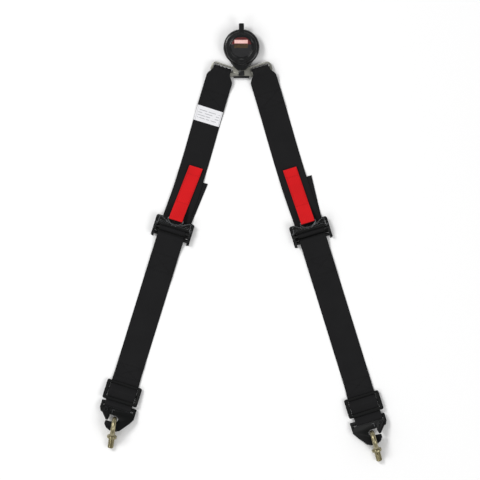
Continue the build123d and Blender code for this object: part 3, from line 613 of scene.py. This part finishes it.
def lower_ripple(ruler):
    """A slow ripple in the flat run, up to 0.4 mm, and a soft bulge where it turns in the hook."""
    start, end = ruler.joint_at("lower_strap_swing")[0], ruler.joint_at("hook_swing")[0]

    def lift(u, v, s):
        flat = ease(v, start + 60, start + 110) * (1 - ease(v, end - 150, end - 100))
        bulge = 1.5 * np.exp(-(((v - end - 4.5) / 2.6) ** 2))
        return 0.2 * flat * (1 + np.sin(v / 27.0 - u / 45)) + bulge

    return lift


def spread(ruler):
    """Between the slide's rails the cloth spreads by 1.2 mm and lies where the slide holds it."""
    slide_u, slide_v, _ = ruler.where(middle(ruler.side + "_slide"))

    def window(v):
        return ease(v, slide_v - 40, slide_v - 18) * (1 - ease(v, slide_v + 16, slide_v + 22))

    return (lambda v: 1 + 0.024 * window(v)), (lambda s, v: slide_u * window(v))


for ruler in BELTS.values():
    wider, aside = spread(ruler)
    points, uv, total = ribbon(
        ruler, lower_route(ruler), BELT_WIDTH, WEB, wider, aside, lower_ripple(ruler), lean=-0.6
    )
    belt = grid_object(ruler.side + "_lower_belt", [(points, uv)], BLACK_WEBBING)
    mounted(belt, ruler.side + "_lower_strap", "black_webbing", ruler.side + "_lower_webbing")
    print(f"{belt.name}: {total:.0f} mm of webbing")

# %% [markdown]
# ### The pull tabs
#
# Narrow red webbing goes round the bail's bar and is sewn back on itself. Both layers lie up the
# belt, a little askew. The free end is folded under once, which shows as a ridge 12 mm from it.

# %% Pull tabs
TAB_WIDTH = 25.5
TAB_WEB = 1.3
TAB_LENGTH = 102.0
TAB_LEAN = {"left": 4.2, "right": -1.6}
BAIL_WIRE_R = 1.0
BAIL_REACH = 10.5
BAIL_EYE_HALF, BAIL_NECK = 5.9, 4.5


def tab_ends(ruler):
    """(v of the bail's bar, its height, v of the tab's free end)."""
    pivot_v, bail_z = ruler.joint_at("tab_flip")
    return pivot_v - BAIL_REACH, bail_z, pivot_v - BAIL_REACH - TAB_LENGTH


def tab_route(ruler):
    """Under layer, round the bail's bar, and the upper layer back to the free end."""
    bar_v, bar_z, end_v = tab_ends(ruler)
    low = TWO_LAYERS + WEB / 2 + 0.3 + TAB_WEB / 2
    step = TAB_WEB + LAYER_GAP
    bend = 16.0
    return [
        (end_v, low, 0),
        (bar_v - 34, low + bend, bend),
        (bar_v, bar_z, BAIL_WIRE_R + TURN_GAP + TAB_WEB / 2),
        (bar_v - 34, low + bend, step - bend),
        (end_v, low + step, 0),
    ]


for ruler in BELTS.values():
    bar_v, _, end_v = tab_ends(ruler)
    slope = math.tan(math.radians(TAB_LEAN[ruler.side]))

    def tab_lift(u, v, s):
        """The hem's ridge, and a soft hollow between the two sewn edges."""
        ridge = 0.5 * np.exp(-(((v - end_v - 12) / 1.6) ** 2))
        return ridge + 0.35 * (u / 12.7) ** 2 * ease(v, end_v + 16, end_v + 30)

    def tab_aside(s, v):
        return slope * np.clip(bar_v - 6 - v, 0, None)

    points, uv, total = ribbon(
        ruler, tab_route(ruler), TAB_WIDTH, TAB_WEB, aside=tab_aside, lift=tab_lift
    )
    tab = grid_object(ruler.side + "_pull_tab", [(points, uv)], RED_WEBBING)
    mounted(tab, ruler.side + "_pull_tab", "red_webbing", ruler.side + "_pull_tab_webbing")

# %% [markdown]
# ### Stitching
#
# Thick bonded thread sews every loop in a box with a cross, which spreads the load. One stitch is a
# short spindle of a few dozen faces, half sunk in the cloth. All the stitches of a seam are made at
# once: a seam is a line of points on the cloth, and each stitch lies along it.

# %% Stitches
STITCH_LENGTH = 3.0
STITCH_GAP = 1.0
THREAD_R = 0.42
YOKE_BOX = (20.5, 40, 66)
LOAD_BOX = (21.5, 36, 67)
HOOK_BOX = (21.5, 3, 27)
TAB_SEAM = 10.9


def top_height(route, v_range):
    """A function of (u, v) that gives the height of a route's upper face between two v."""
    line, heading = follow(route)
    flat = (np.abs(heading) < 0.6) & (line[:, 0] > v_range[0] - 12) & (line[:, 0] < v_range[1] + 12)
    flat &= line[:, 1] > ONE_LAYER - 0.01
    order = np.argsort(line[flat, 0])
    along, height = line[flat, 0][order], line[flat, 1][order]
    return lambda u, v: np.interp(v, along, height) + WEB / 2


def seam(corners):
    """Middle points and directions, in (u, v), of the stitches along a line of corners."""
    middles, ways = [], []
    for start, end in zip(corners[:-1], corners[1:]):
        start, end = np.array(start, float), np.array(end, float)
        reach = np.hypot(*(end - start))
        count = max(int(reach / (STITCH_LENGTH + STITCH_GAP)), 1)
        share = (np.arange(count) + 0.5) / count
        middles.append(start + share[:, None] * (end - start))
        ways.append(np.repeat([(end - start) / reach], count, 0))
    return np.concatenate(middles), np.concatenate(ways)


def stitches(name, ruler, body, seams, height, material, radius=THREAD_R):
    """Spindles along seams. Radius along a stitch is r sqrt(sin(pi t)), and t runs from end to end."""
    middles, ways = (np.concatenate(part) for part in zip(*(seam(line) for line in seams)))
    t = np.linspace(0.03, 0.97, 5)
    angle = circle(6)
    girth = radius * np.sqrt(np.sin(np.pi * t))
    along = ((t - 0.5) * STITCH_LENGTH)[None, :, None, None] * ways[:, None, None, :]
    out = girth[None, :, None, None] * np.cos(angle)[None, None, :, None]
    square = np.stack([-ways[:, 1], ways[:, 0]], 1)[:, None, None, :]
    flat = middles[:, None, None, :] + along + out * square
    z = height(flat[..., 0], flat[..., 1]) + 0.1 + girth[None, :, None] * np.sin(angle)
    points = ruler.place(flat[..., 0], flat[..., 1], z)
    piece = grid_object(name, [(stitch, None) for stitch in points], material, sharp=180)
    mounted(piece, body, "red_webbing" if material is RED_THREAD else "black_webbing")


def crossed_box(half, v0, v1, start=0.0):
    """Seams of a sewn box with a cross in it, from v0 to v1 after a start."""
    v0, v1 = start + v0, start + v1
    box = [(-half, v0), (half, v0), (half, v1), (-half, v1), (-half, v0)]
    return [box, [(-half, v0), (half, v1)], [(half, v0), (-half, v1)]]


for ruler in BELTS.values():
    side = ruler.side
    upper, lower = upper_route(ruler), lower_route(ruler)
    load_v, hook_v = ruler.joint_at("lower_strap_swing")[0], ruler.joint_at("hook_swing")[0]
    top = top_height(upper, (38, 70))
    stitches(
        side + "_yoke_loop_stitches", ruler, side + "_upper_strap", crossed_box(*YOKE_BOX),
        lambda u, v, top=top: top(u, v) + pleats(u, v, 0), BLACK_THREAD,
    )
    ripple = lower_ripple(ruler)
    top = top_height(lower, (load_v + 32, hook_v - 40))
    seams = crossed_box(*LOAD_BOX, load_v) + crossed_box(*HOOK_BOX, hook_v - RETURN_LENGTH)
    stitches(
        side + "_lower_loop_stitches", ruler, side + "_lower_strap", seams,
        lambda u, v, top=top, ripple=ripple: top(u, v) + ripple(u, v, 0), BLACK_THREAD,
    )
    bar_v, _, end_v = tab_ends(ruler)
    slope = math.tan(math.radians(TAB_LEAN[side]))
    tab_top = TWO_LAYERS + WEB / 2 + 0.3 + 2 * TAB_WEB + LAYER_GAP

    def leaning(points):
        """The same seam on the leaning tab."""
        return [(u + slope * max(bar_v - 6 - v, 0), v) for u, v in points]

    rows = [[(x, end_v + 3), (x, bar_v - 30)] for x in (-TAB_SEAM, TAB_SEAM)]
    rows += [[(-TAB_SEAM, v), (TAB_SEAM, v)] for v in (end_v + 15.5, bar_v - 32)]
    stitches(
        side + "_pull_tab_stitches", ruler, side + "_pull_tab", [leaning(row) for row in rows],
        lambda u, v, z=tab_top: z + 0.0 * u + 0.22, RED_THREAD, 0.32,
    )

# %% [markdown]
# ### The label
#
# A white satin label is sewn across the left belt. It follows the belt's surface, a little askew.
# Its print is only grey rules and a thin frame, drawn on its UV map in centimetres.

# %% Label
LABEL = {"left": -24.6, "right": 24.0, "top": (70.2, 70.6), "bottom": (98.8, 98.4), "thick": 0.3}
LINES_PER_CM = 2.1


def label_material():
    """White satin with grey rules, one in the middle of each line's height, broken by a noise."""
    material, tree, shader = new_material(
        "printed_white_satin", "#e2e2e5", 0.5, Sheen_Weight=0.3, Sheen_Roughness=0.4
    )
    uv = add(tree, "TexCoord").outputs["UV"]
    axes = add(tree, "SeparateXYZ", Vector=uv)
    x, y = axes.outputs[0], axes.outputs[1]
    lines = add(tree, "Math", "MULTIPLY", i0=y, i1=LINES_PER_CM)
    from_line = add(tree, "Math", "PINGPONG", i0=lines, i1=0.5)
    rule = add(tree, "Math", "GREATER_THAN", i0=from_line, i1=0.34)
    words = add(tree, "TexNoise", Vector=uv, Scale=1.1, Detail=1.0)
    kept = add(tree, "Math", "GREATER_THAN", i0=words, i1=0.43)
    broken = add(tree, "Math", "MULTIPLY", i0=rule, i1=kept)
    from_middle = add(tree, "Math", "ABSOLUTE", i0=x)
    wide = add(tree, "Math", "LESS_THAN", i0=from_middle, i1=2.0)
    tall = add(tree, "Math", "COMPARE", i0=y, i1=1.4, i2=0.85)
    inside = add(tree, "Math", "MULTIPLY", i0=wide, i1=tall)
    text = add(tree, "Math", "MULTIPLY", i0=broken, i1=inside)
    border = add(tree, "Math", "COMPARE", i0=from_middle, i1=2.2, i2=0.035)
    marks = add(tree, "Math", "MAXIMUM", i0=text, i1=border)
    ink = add(tree, "Math", "MULTIPLY", i0=marks, i1=0.55)
    satin, grey = colour("#e2e2e5"), colour("#77777c")
    paint = add(tree, "Mix", data_type="RGBA", i0=ink, i6=satin, i7=grey)
    weave = add(tree, "TexWave", wave_type="BANDS", Vector=uv, Scale=9.0).outputs[1]
    bump = add(tree, "Bump", Height=weave, Distance=0.04 * MM)
    wire(tree, shader, Base_Color=paint.outputs[2], Normal=bump)
    return material


ruler = BELTS["left"]
LABEL_HALF = (LABEL["right"] - LABEL["left"]) / 2
u, n = section(LABEL_HALF, LABEL["thick"], across=25, round_steps=2)
share = (u / LABEL_HALF + 1) / 2
u = u + (LABEL["right"] + LABEL["left"]) / 2
t = np.linspace(0, 1, 22)[:, None]
v_top = LABEL["top"][0] + share * (LABEL["top"][1] - LABEL["top"][0])
v_bottom = LABEL["bottom"][0] + share * (LABEL["bottom"][1] - LABEL["bottom"][0])
v = v_top + t * (v_bottom - v_top)
rest = top_height(upper_route(ruler), (60, 110))(u, v) + pleats(u, v, 0)
points = ruler.place(u + bow("left", v), v, rest + LAYER_GAP + LABEL["thick"] / 2 + n)
uv = np.stack([u + 0 * v, v - LABEL["top"][1]], -1) / 10
label = grid_object("care_label_cloth", [(points, uv)], label_material())
mounted(label, "left_upper_strap", "white_label", "care_label")

# %% [markdown]
# ## The buckle
#
# The knob is moulded: a low cone with three finger hollows and a tab at twelve o'clock. It's a
# surface of revolution, r and z against the angle, whose corners are rounded as a mould leaves them.
# The hollows are balls pressed into it: the surface is the lower of the cone and each ball.


# %% Turned shapes
def softened(profile, radius, steps=5):
    """A line of (r, z) with each corner replaced by a curve that starts one radius before it.

    The curve is (1 - t)^2 start + 2 t (1 - t) corner + t^2 end.
    """
    line = np.array(profile, float)
    corner, before, after = line[1:-1], line[:-2], line[2:]
    reach = [np.hypot(*(p - corner).T) for p in (before, after)]
    cut = np.minimum(radius, np.minimum(*reach) * 0.45)[:, None]
    start = corner + (before - corner) / reach[0][:, None] * cut
    end = corner + (after - corner) / reach[1][:, None] * cut
    t = np.linspace(0, 1, steps)[None, :, None]
    curve = (1 - t) ** 2 * start[:, None] + 2 * t * (1 - t) * corner[:, None] + t**2 * end[:, None]
    return np.concatenate([line[:1], curve.reshape(-1, 2), line[-1:]])


def turned(radius, along, centre, axis, start, columns):
    """Grid of circles round an axis: centre + along axis + radius (cos a start + sin a side)."""
    angle = circle(columns)
    axis, start = np.array(axis, float), np.array(start, float)
    side = np.cross(axis, start)
    radius = np.broadcast_to(np.reshape(radius, (len(along), -1)), (len(along), columns))
    spoke = np.cos(angle)[:, None] * start + np.sin(angle)[:, None] * side
    grid = np.array(along)[:, None, None] * axis + radius[..., None] * spoke
    return np.array(centre) + grid * MM


def rows_between(profile, gap):
    """The profile with more points, none further apart than the gap."""
    steps = np.ceil(np.hypot(*np.diff(profile, axis=0).T) / gap).astype(int).clip(1)
    parts = [
        a + (b - a) * np.linspace(0, 1, n, endpoint=False)[:, None]
        for a, b, n in zip(profile[:-1], profile[1:], steps)
    ]
    return np.concatenate([*parts, profile[-1:]])


# %% [markdown]
# ### Knob and badge
#
# The badge is a domed disc in the knob's recess: black, with a red field, a plain pale bar and a
# dull gold band. Its print is drawn on Object coordinates, because the disc doesn't bend.

# %% Knob
KNOB_LOW, KNOB_HIGH = (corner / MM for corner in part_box("release_knob"))
KNOB_R = KNOB_HIGH[0]
KNOB_TOP_R = KNOB_R - 7.0
BADGE_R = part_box("knob_badge")[1][0] / MM
HOLLOW_ANGLES = np.radians([30, 150, 270])
HOLLOW_AT, HOLLOW_R = (KNOB_R + 1.0, KNOB_HIGH[2] + 3.5), 9.0
RECESS, RIM = 1.3, 3.2
TAB = {"half": 4.75, "from": 18.0, "low": 20.8, "high": 24.8, "corner": 1.2, "groove": 35.2}


def knob_grid():
    """Cone and recess, then pressed down to the balls: z = min(z, ball's underside), smoothed."""
    low, high = KNOB_LOW[2], KNOB_HIGH[2]
    profile = [
        (0.5, high - RECESS), (BADGE_R + 0.15, high - RECESS), (BADGE_R + 0.15, high),
        (KNOB_TOP_R, high), (KNOB_R, low + RIM), (KNOB_R, low), (9.0, low), (9.0, low + 2.0),
        (0.5, low + 2.0),
    ]
    profile = rows_between(softened(profile, 0.9), 0.7)
    grid = turned(profile[:, 0], profile[:, 1], (0, 0, 0), UP, (1, 0, 0), 168) / MM
    hollow = HOLLOW_AT[0] * np.stack([np.cos(HOLLOW_ANGLES), np.sin(HOLLOW_ANGLES)], 1)
    away = np.hypot(*np.moveaxis(grid[..., None, :2] - hollow, -1, 0)).min(-1)
    ball = HOLLOW_AT[1] - np.sqrt((HOLLOW_R**2 - away**2).clip(0))
    ball = np.where(away < HOLLOW_R, ball, HOLLOW_AT[1])
    soft = 0.5
    blended = -soft * np.log(np.exp(-grid[..., 2] / soft) + np.exp(-ball / soft))
    outer = (np.hypot(grid[..., 0], grid[..., 1]) > BADGE_R + 0.5) & (grid[..., 2] > low + 1)
    grid[..., 2] = np.where(outer, blended, grid[..., 2])
    return grid * MM


def knob_tab_grid():
    """Bar with rounded corners: |x / a|^5 + |z / b|^5 = 1, with a groove across it at its root."""
    end, corner = KNOB_HIGH[1], TAB["corner"]
    closing = end - corner * (1 - np.sin(np.linspace(0.1, 1, 7) * np.pi / 2))
    y = np.concatenate([np.linspace(TAB["from"], end - corner, 40), closing])
    near_end = ((y - end + corner) / corner).clip(0, 1)
    size = 1 - 0.35 * near_end**3
    angle = circle(40)
    power = 2 / 5
    x = np.sign(np.cos(angle)) * np.abs(np.cos(angle)) ** power
    z = np.sign(np.sin(angle)) * np.abs(np.sin(angle)) ** power
    groove = 0.9 * np.exp(-(((y - TAB["groove"]) / 0.9) ** 2))
    half_z = (TAB["high"] - TAB["low"]) / 2
    height = z * half_z * size[:, None] - np.where(z > 0, groove[:, None], 0)
    middle_z = (TAB["high"] + TAB["low"]) / 2
    return np.stack([x * TAB["half"] * size[:, None], y[:, None] + 0 * x, middle_z + height], -1) * MM


knob_grids = [(knob_grid(), None), (knob_tab_grid(), None)]
knob = grid_object("knob_moulding", knob_grids, GLOSS_BLACK, sharp=50)
mounted(knob, "knob", "black_plastic", "release_knob")


# %% Badge
def badge_material():
    """Print on a disc: each block is 1 where |x - middle| and |y - middle| are within its halves."""
    material, tree, shader = new_material(
        "badge_enamel", "#0c0c0e", 0.22, Coat_Weight=0.4, Coat_Roughness=0.08
    )
    at = add(tree, "TexCoord").outputs["Object"]
    axes = add(tree, "SeparateXYZ", Vector=at)
    x, y = axes.outputs[0], axes.outputs[1]
    blotches = add(tree, "TexNoise", Vector=at, Scale=1 / (6 * MM), Detail=3.0)
    shade = add(tree, "MapRange", i0=blotches, i1=0.3, i2=0.7)
    black, charcoal = colour("#0b0b0d"), colour("#17171a")
    paint = add(tree, "Mix", data_type="RGBA", i0=shade, i6=black, i7=charcoal)
    for centre, half, dark, light in (
        ((-0.6, 11.2), (20, 6.2), "#4a090b", "#640f11"),
        ((-0.6, 1.8), (12.4, 3.6), "#33240f", "#473414"),
        ((-0.6, 9.6), (12.2, 3.2), "#e3aca6", "#efc6c0"),
    ):
        wide = add(tree, "Math", "COMPARE", i0=x, i1=centre[0] * MM, i2=half[0] * MM)
        tall = add(tree, "Math", "COMPARE", i0=y, i1=centre[1] * MM, i2=half[1] * MM)
        block = add(tree, "Math", "MULTIPLY", i0=wide, i1=tall)
        ink = add(tree, "Mix", data_type="RGBA", i0=shade, i6=colour(dark), i7=colour(light))
        under, over = paint.outputs[2], ink.outputs[2]
        paint = add(tree, "Mix", data_type="RGBA", i0=block, i6=under, i7=over)
    grain = add(tree, "TexNoise", Vector=at, Scale=1 / (2 * MM), Detail=3.0)
    bump = add(tree, "Bump", Height=grain, Distance=0.02 * MM)
    wire(tree, shader, Base_Color=paint.outputs[2], Normal=bump)
    return material


badge_low, badge_high = (corner[2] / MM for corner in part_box("knob_badge"))
dome = [
    (0.4, badge_high), (BADGE_R * 0.6, badge_high - 0.08), (BADGE_R, badge_high - 0.3),
    (BADGE_R, badge_low), (0.4, badge_low),
]
dome = rows_between(softened(dome, 0.3, 4), 1.5)
badge_grid = turned(*dome.T, (0, 0, 0), UP, (1, 0, 0), 120)
badge = grid_object("knob_badge_disc", [(badge_grid, None)], badge_material())
mounted(badge, "knob", "red_enamel", "knob_badge")

# %% [markdown]
# ## The eye bolts
#
# Each is one steel forging, zinc plated and passivated to a yellow that shifts to olive. The ring
# is a torus that swells into the flange, and the shank has a 7/16 inch thread of 20 turns an inch.
# The shank's place is known from the record's mounts; the ring's centre lies on the same axis.

# %% Eye bolts
RING_R, WIRE_R = 14.25, 4.25
COLLAR_R, COLLAR_T = 9.0, 4.5
SHANK_R, THREADED, CHAMFER = 5.556, 17.8, 1.2
THREAD_PITCH, THREAD_DEPTH = 1.27, 0.7


def eye_bolt(side):
    """Grids of ring, neck, flange and threaded shank, on the shank's axis."""
    mount = next(m for m in frame["record"]["mounts"] if m["name"] == side + "_eye_shank")
    ahead, place = np.array(mount["axis"], float), np.array(mount["pos_m"], float)
    ahead /= np.linalg.norm(ahead)
    across = np.cross(ahead, UP)
    across /= np.linalg.norm(across)
    over = np.cross(across, ahead)
    ring_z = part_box(side + "_eye_bolt")[1][2] - (RING_R + WIRE_R) * MM
    centre = place + ahead * (ring_z - place[2]) / ahead[2]
    flange = (place - centre) @ ahead / MM - THREADED / 2

    turn = circle(96)[:, None, None]
    round_wire = circle(28)[None, :, None]
    swell = WIRE_R * (1 + 0.16 * np.cos(turn).clip(0) ** 8)
    spoke = np.cos(turn) * ahead + np.sin(turn) * over
    reach = RING_R + swell * np.cos(round_wire)
    ring = centre + (reach * spoke + swell * np.sin(round_wire) * across) * MM

    top, tip = flange - COLLAR_T, flange + THREADED + CHAMFER
    neck = np.array([(4.6, RING_R - 1.0), (5.4, RING_R + 1.5), (6.4, RING_R + 2.8), (7.6, top + 0.5)])
    rim = softened([(0.5, top), (COLLAR_R, top), (COLLAR_R, flange), (0.5, flange)], 1.1)
    along = np.append(np.arange(flange - 0.4, tip - 0.01, THREAD_PITCH / 6), tip)
    angle = np.linspace(0, 1, 40, endpoint=False)
    phase = along[:, None] / THREAD_PITCH - angle
    groove = np.abs(2 * (phase - np.floor(phase)) - 1)
    fade = ease(along, flange + 1.0, flange + 2.4)[:, None]
    radius = SHANK_R - THREAD_DEPTH * groove * fade
    radius = np.minimum(radius, SHANK_R - CHAMFER + 0.2 + tip - along[:, None])
    grids = [turned(*part.T, centre, ahead, over, 48) for part in (neck, rim)]
    grids.append(turned(radius, along, centre, ahead, over, 40))
    return ring, grids


for side in SIDES:
    ring, grids = eye_bolt(side)
    for piece in (
        grid_object(side + "_eye_ring", [(ring, None)], YELLOW_ZINC, wrap_rows=True, sharp=180),
        grid_object(side + "_eye_shank", [(grid, None) for grid in grids], YELLOW_ZINC, sharp=38),
    ):
        mounted(piece, side + "_eye", "yellow_zinc", side + "_eye_bolt")

# %% [markdown]
# ## The wire bails
#
# Wire is a tube: a circle carried along a line. At each point the circle stands square to the
# line's direction, with its two axes from the cross product with a fixed reference.


# %% Wire
def tube(path, radius, reference, columns=14):
    """Grid round a closed path in millimetres: point + r (cos a side + sin a up)."""
    ahead = np.roll(path, -1, 0) - np.roll(path, 1, 0)
    ahead /= np.linalg.norm(ahead, axis=1)[:, None]
    side = np.cross(ahead, reference)
    side /= np.linalg.norm(side, axis=1)[:, None]
    up = np.cross(side, ahead)
    angle = circle(columns)[None, :, None]
    return path[:, None] + radius * (np.cos(angle) * side[:, None] + np.sin(angle) * up[:, None])


for ruler in BELTS.values():
    side = ruler.side
    pivot_v, bail_z = ruler.joint_at("tab_flip")
    far = TAB_WIDTH / 2 + BAIL_WIRE_R + 0.5
    bar_v = pivot_v - BAIL_REACH
    half = [(0, bar_v), (far, bar_v), (far, bar_v + BAIL_NECK), (BAIL_EYE_HALF, pivot_v)]
    loop = half + [(-u, v) for u, v in reversed(half)]
    loop = rows_between(softened(loop, 1.6, 7), 1.2)[:-1]
    path = np.column_stack([loop, np.full(len(loop), bail_z)])
    grid = ruler.place(*np.moveaxis(tube(path, BAIL_WIRE_R, UP), -1, 0))
    bail = grid_object(side + "_wire_bail", [(grid, None)], SPRING_STEEL, wrap_rows=True, sharp=180)
    mounted(bail, side + "_pull_tab", "spring_steel", side + "_tab_bail")

# %% [markdown]
# ## Plates and castings
#
# These keep the CAD's shape. A copy has its facets merged and its edges rounded by a Bevel modifier,
# because a pressed or moulded edge is never sharp, and it's the light along those edges that shows
# the shape. The CAD mesh itself is left as it is.


# %% Rounded copies of CAD parts
def rounded_copy(name, node, body, material, slot, width_mm, limit=28.0):
    """Copies a node, merges doubles and flat facets, and bevels edges sharper than the limit."""
    work = bmesh.new()
    work.from_mesh(frame["nodes"][node].data)
    bmesh.ops.remove_doubles(work, verts=work.verts, dist=2e-6)
    bmesh.ops.dissolve_limit(work, angle_limit=math.radians(0.4), verts=work.verts, edges=work.edges)
    mesh = bpy.data.meshes.new(name)
    work.to_mesh(mesh)
    work.free()
    mesh.materials.clear()
    piece = finished(name, mesh, material, 180)
    bevel = piece.modifiers.new("soft_edges", "BEVEL")
    bevel.width, bevel.segments = width_mm * MM, 2
    bevel.limit_method, bevel.angle_limit = "ANGLE", math.radians(limit)
    bevel.use_clamp_overlap = True
    bevel.harden_normals = True
    mounted(piece, body, slot, node)


for row in (
    ("housing_moulding", "buckle_housing", "buckle", GLOSS_BLACK, "black_plastic", 0.6, 40),
    ("base_plate_pressing", "buckle_base_plate", "buckle", BLACK_ECOAT, "cast_alloy", 0.4, 40),
    ("yoke_pressing", "yoke_plate", "buckle", ZINC_PLATE, "plated_steel", 0.7),
    ("yoke_guard_moulding", "yoke_edge_guard", "buckle", MOULDED_BLACK, "black_plastic", 0.5),
    ("yoke_keeper_pressing", "yoke_keeper", "buckle", MOULDED_BLACK, "black_plastic", 0.4),
    ("keeper_rivet_head", "keeper_rivet", "buckle", MOULDED_BLACK, "bright_steel", 0.15, 40),
):
    rounded_copy(*row)
for side in SIDES:
    for name, node, body, material, width in (
        ("_adjuster_pressing", "_adjuster_frame", "_upper_strap", BLACK_ECOAT, 0.4),
        ("_lever_pressing", "_adjuster_lever", "_lever", RUBBED_AND_HIGHLIT_ECOAT, 0.35),
        ("_slide_pressing", "_slide", "_lower_strap", BLACK_ECOAT, 0.5),
        ("_hook_forging", "_hook_plate", "_hook", BLACK_ECOAT, 0.7),
        ("_gate_pressing", "_gate", "_gate_leaf", BLACK_ECOAT, 0.3),
    ):
        rounded_copy(side + name, side + node, side + body, material, "black_steel", width)

# %% [markdown]
# ### Finishes for the parts that stay
#
# The small turned parts and the works inside the buckle keep their CAD meshes and only get a
# material, by name.

# %% Materials on CAD parts
FINISHES = {
    "knurled_bar": MOULDED_BLACK, "lever_pin": SPRING_STEEL, "lever_spring": SPRING_STEEL,
    "gate_rivet": BLACK_ECOAT, "gate_spring": SPRING_STEEL, "buckle_post": BRIGHT_STEEL,
    "captive_pin": BRIGHT_STEEL, "housing_screws": ZINC_PLATE, "knob_cam": CAST_ALLOY,
    "knob_return_spring": SPRING_STEEL, "latch_lifter": CAST_ALLOY, "latch_pins": BRIGHT_STEEL,
    "latch_springs": SPRING_STEEL,
}
finished_parts = 0
for node, part in frame["nodes"].items():
    finish = FINISHES.get(node.removeprefix("left_").removeprefix("right_"))
    if finish:
        part.data.materials.clear()
        part.data.materials.append(finish)
        finished_parts += 1
print("finished CAD parts:", finished_parts)

# %% [markdown]
# ## Camera, light and floor
#
# The object is seen straight from above through a long lens. The floor is pale. A large soft lamp
# from the upper left, two weaker ones from the lower corners and a white sky leave a faint shadow,
# mostly to the lower right.

# %% Camera, light and floor
FRAME_WIDTH = 879.0 * MM
FRAME_CENTRE = (-2.6 * MM, -352.7 * MM)
CAMERA_HEIGHT = 12.0
SENSOR_WIDTH = 36.0
LAMPS_FACE = (0.0, -0.35, 0.0)
FLOOR_HALF, FLOOR_DROP = 6.0, 0.05

camera = new_object("camera", bpy.data.cameras.new("camera"))
camera.location = (*FRAME_CENTRE, CAMERA_HEIGHT)
camera.data.clip_start = 1.0
camera.data.sensor_width = SENSOR_WIDTH
camera.data.lens = SENSOR_WIDTH * CAMERA_HEIGHT / FRAME_WIDTH
camera.data.clip_end = 60.0
bpy.context.scene.camera = camera


def area_lamp(name, place, size, power):
    """A square lamp that faces the middle of the object."""
    lamp = new_object(name, bpy.data.lights.new(name, "AREA"))
    lamp.data.shape, lamp.data.size, lamp.data.energy = "SQUARE", size, power
    away = np.array(place) - np.array(LAMPS_FACE)
    lamp.location = place
    yaw, pitch = math.atan2(away[1], away[0]), math.atan2(math.hypot(*away[:2]), away[2])
    lamp.rotation_euler = (0.0, pitch, yaw)


area_lamp("key_lamp", (-2.6, 1.5, 4.0), 1.5, 128.0)
area_lamp("right_fill_lamp", (3.0, -2.2, 4.0), 2.2, 78.0)
area_lamp("left_fill_lamp", (-2.8, -2.6, 4.0), 2.2, 44.0)

world = bpy.data.worlds.new("white_studio")
world.use_nodes = True
world.node_tree.nodes["Background"].inputs[0].default_value = (1.0, 1.0, 1.0, 1.0)
world.node_tree.nodes["Background"].inputs[1].default_value = 0.42
bpy.context.scene.world = world
bpy.context.scene.view_settings.view_transform = "Standard"

paper, _, _ = new_material("white_studio_paper", "#f7f7f7", 0.9)
floor_mesh = bpy.data.meshes.new("floor")
corners = FLOOR_HALF * np.array([(-1, -1, 0), (1, -1, 0), (1, 1, 0), (-1, 1, 0)])
floor_mesh.from_pydata(corners - [0, 0, FLOOR_DROP * MM], [], [[0, 1, 2, 3]])
floor_mesh.materials.append(paper)
floor = new_object("floor", floor_mesh)
print("lens, mm:", round(camera.data.lens))
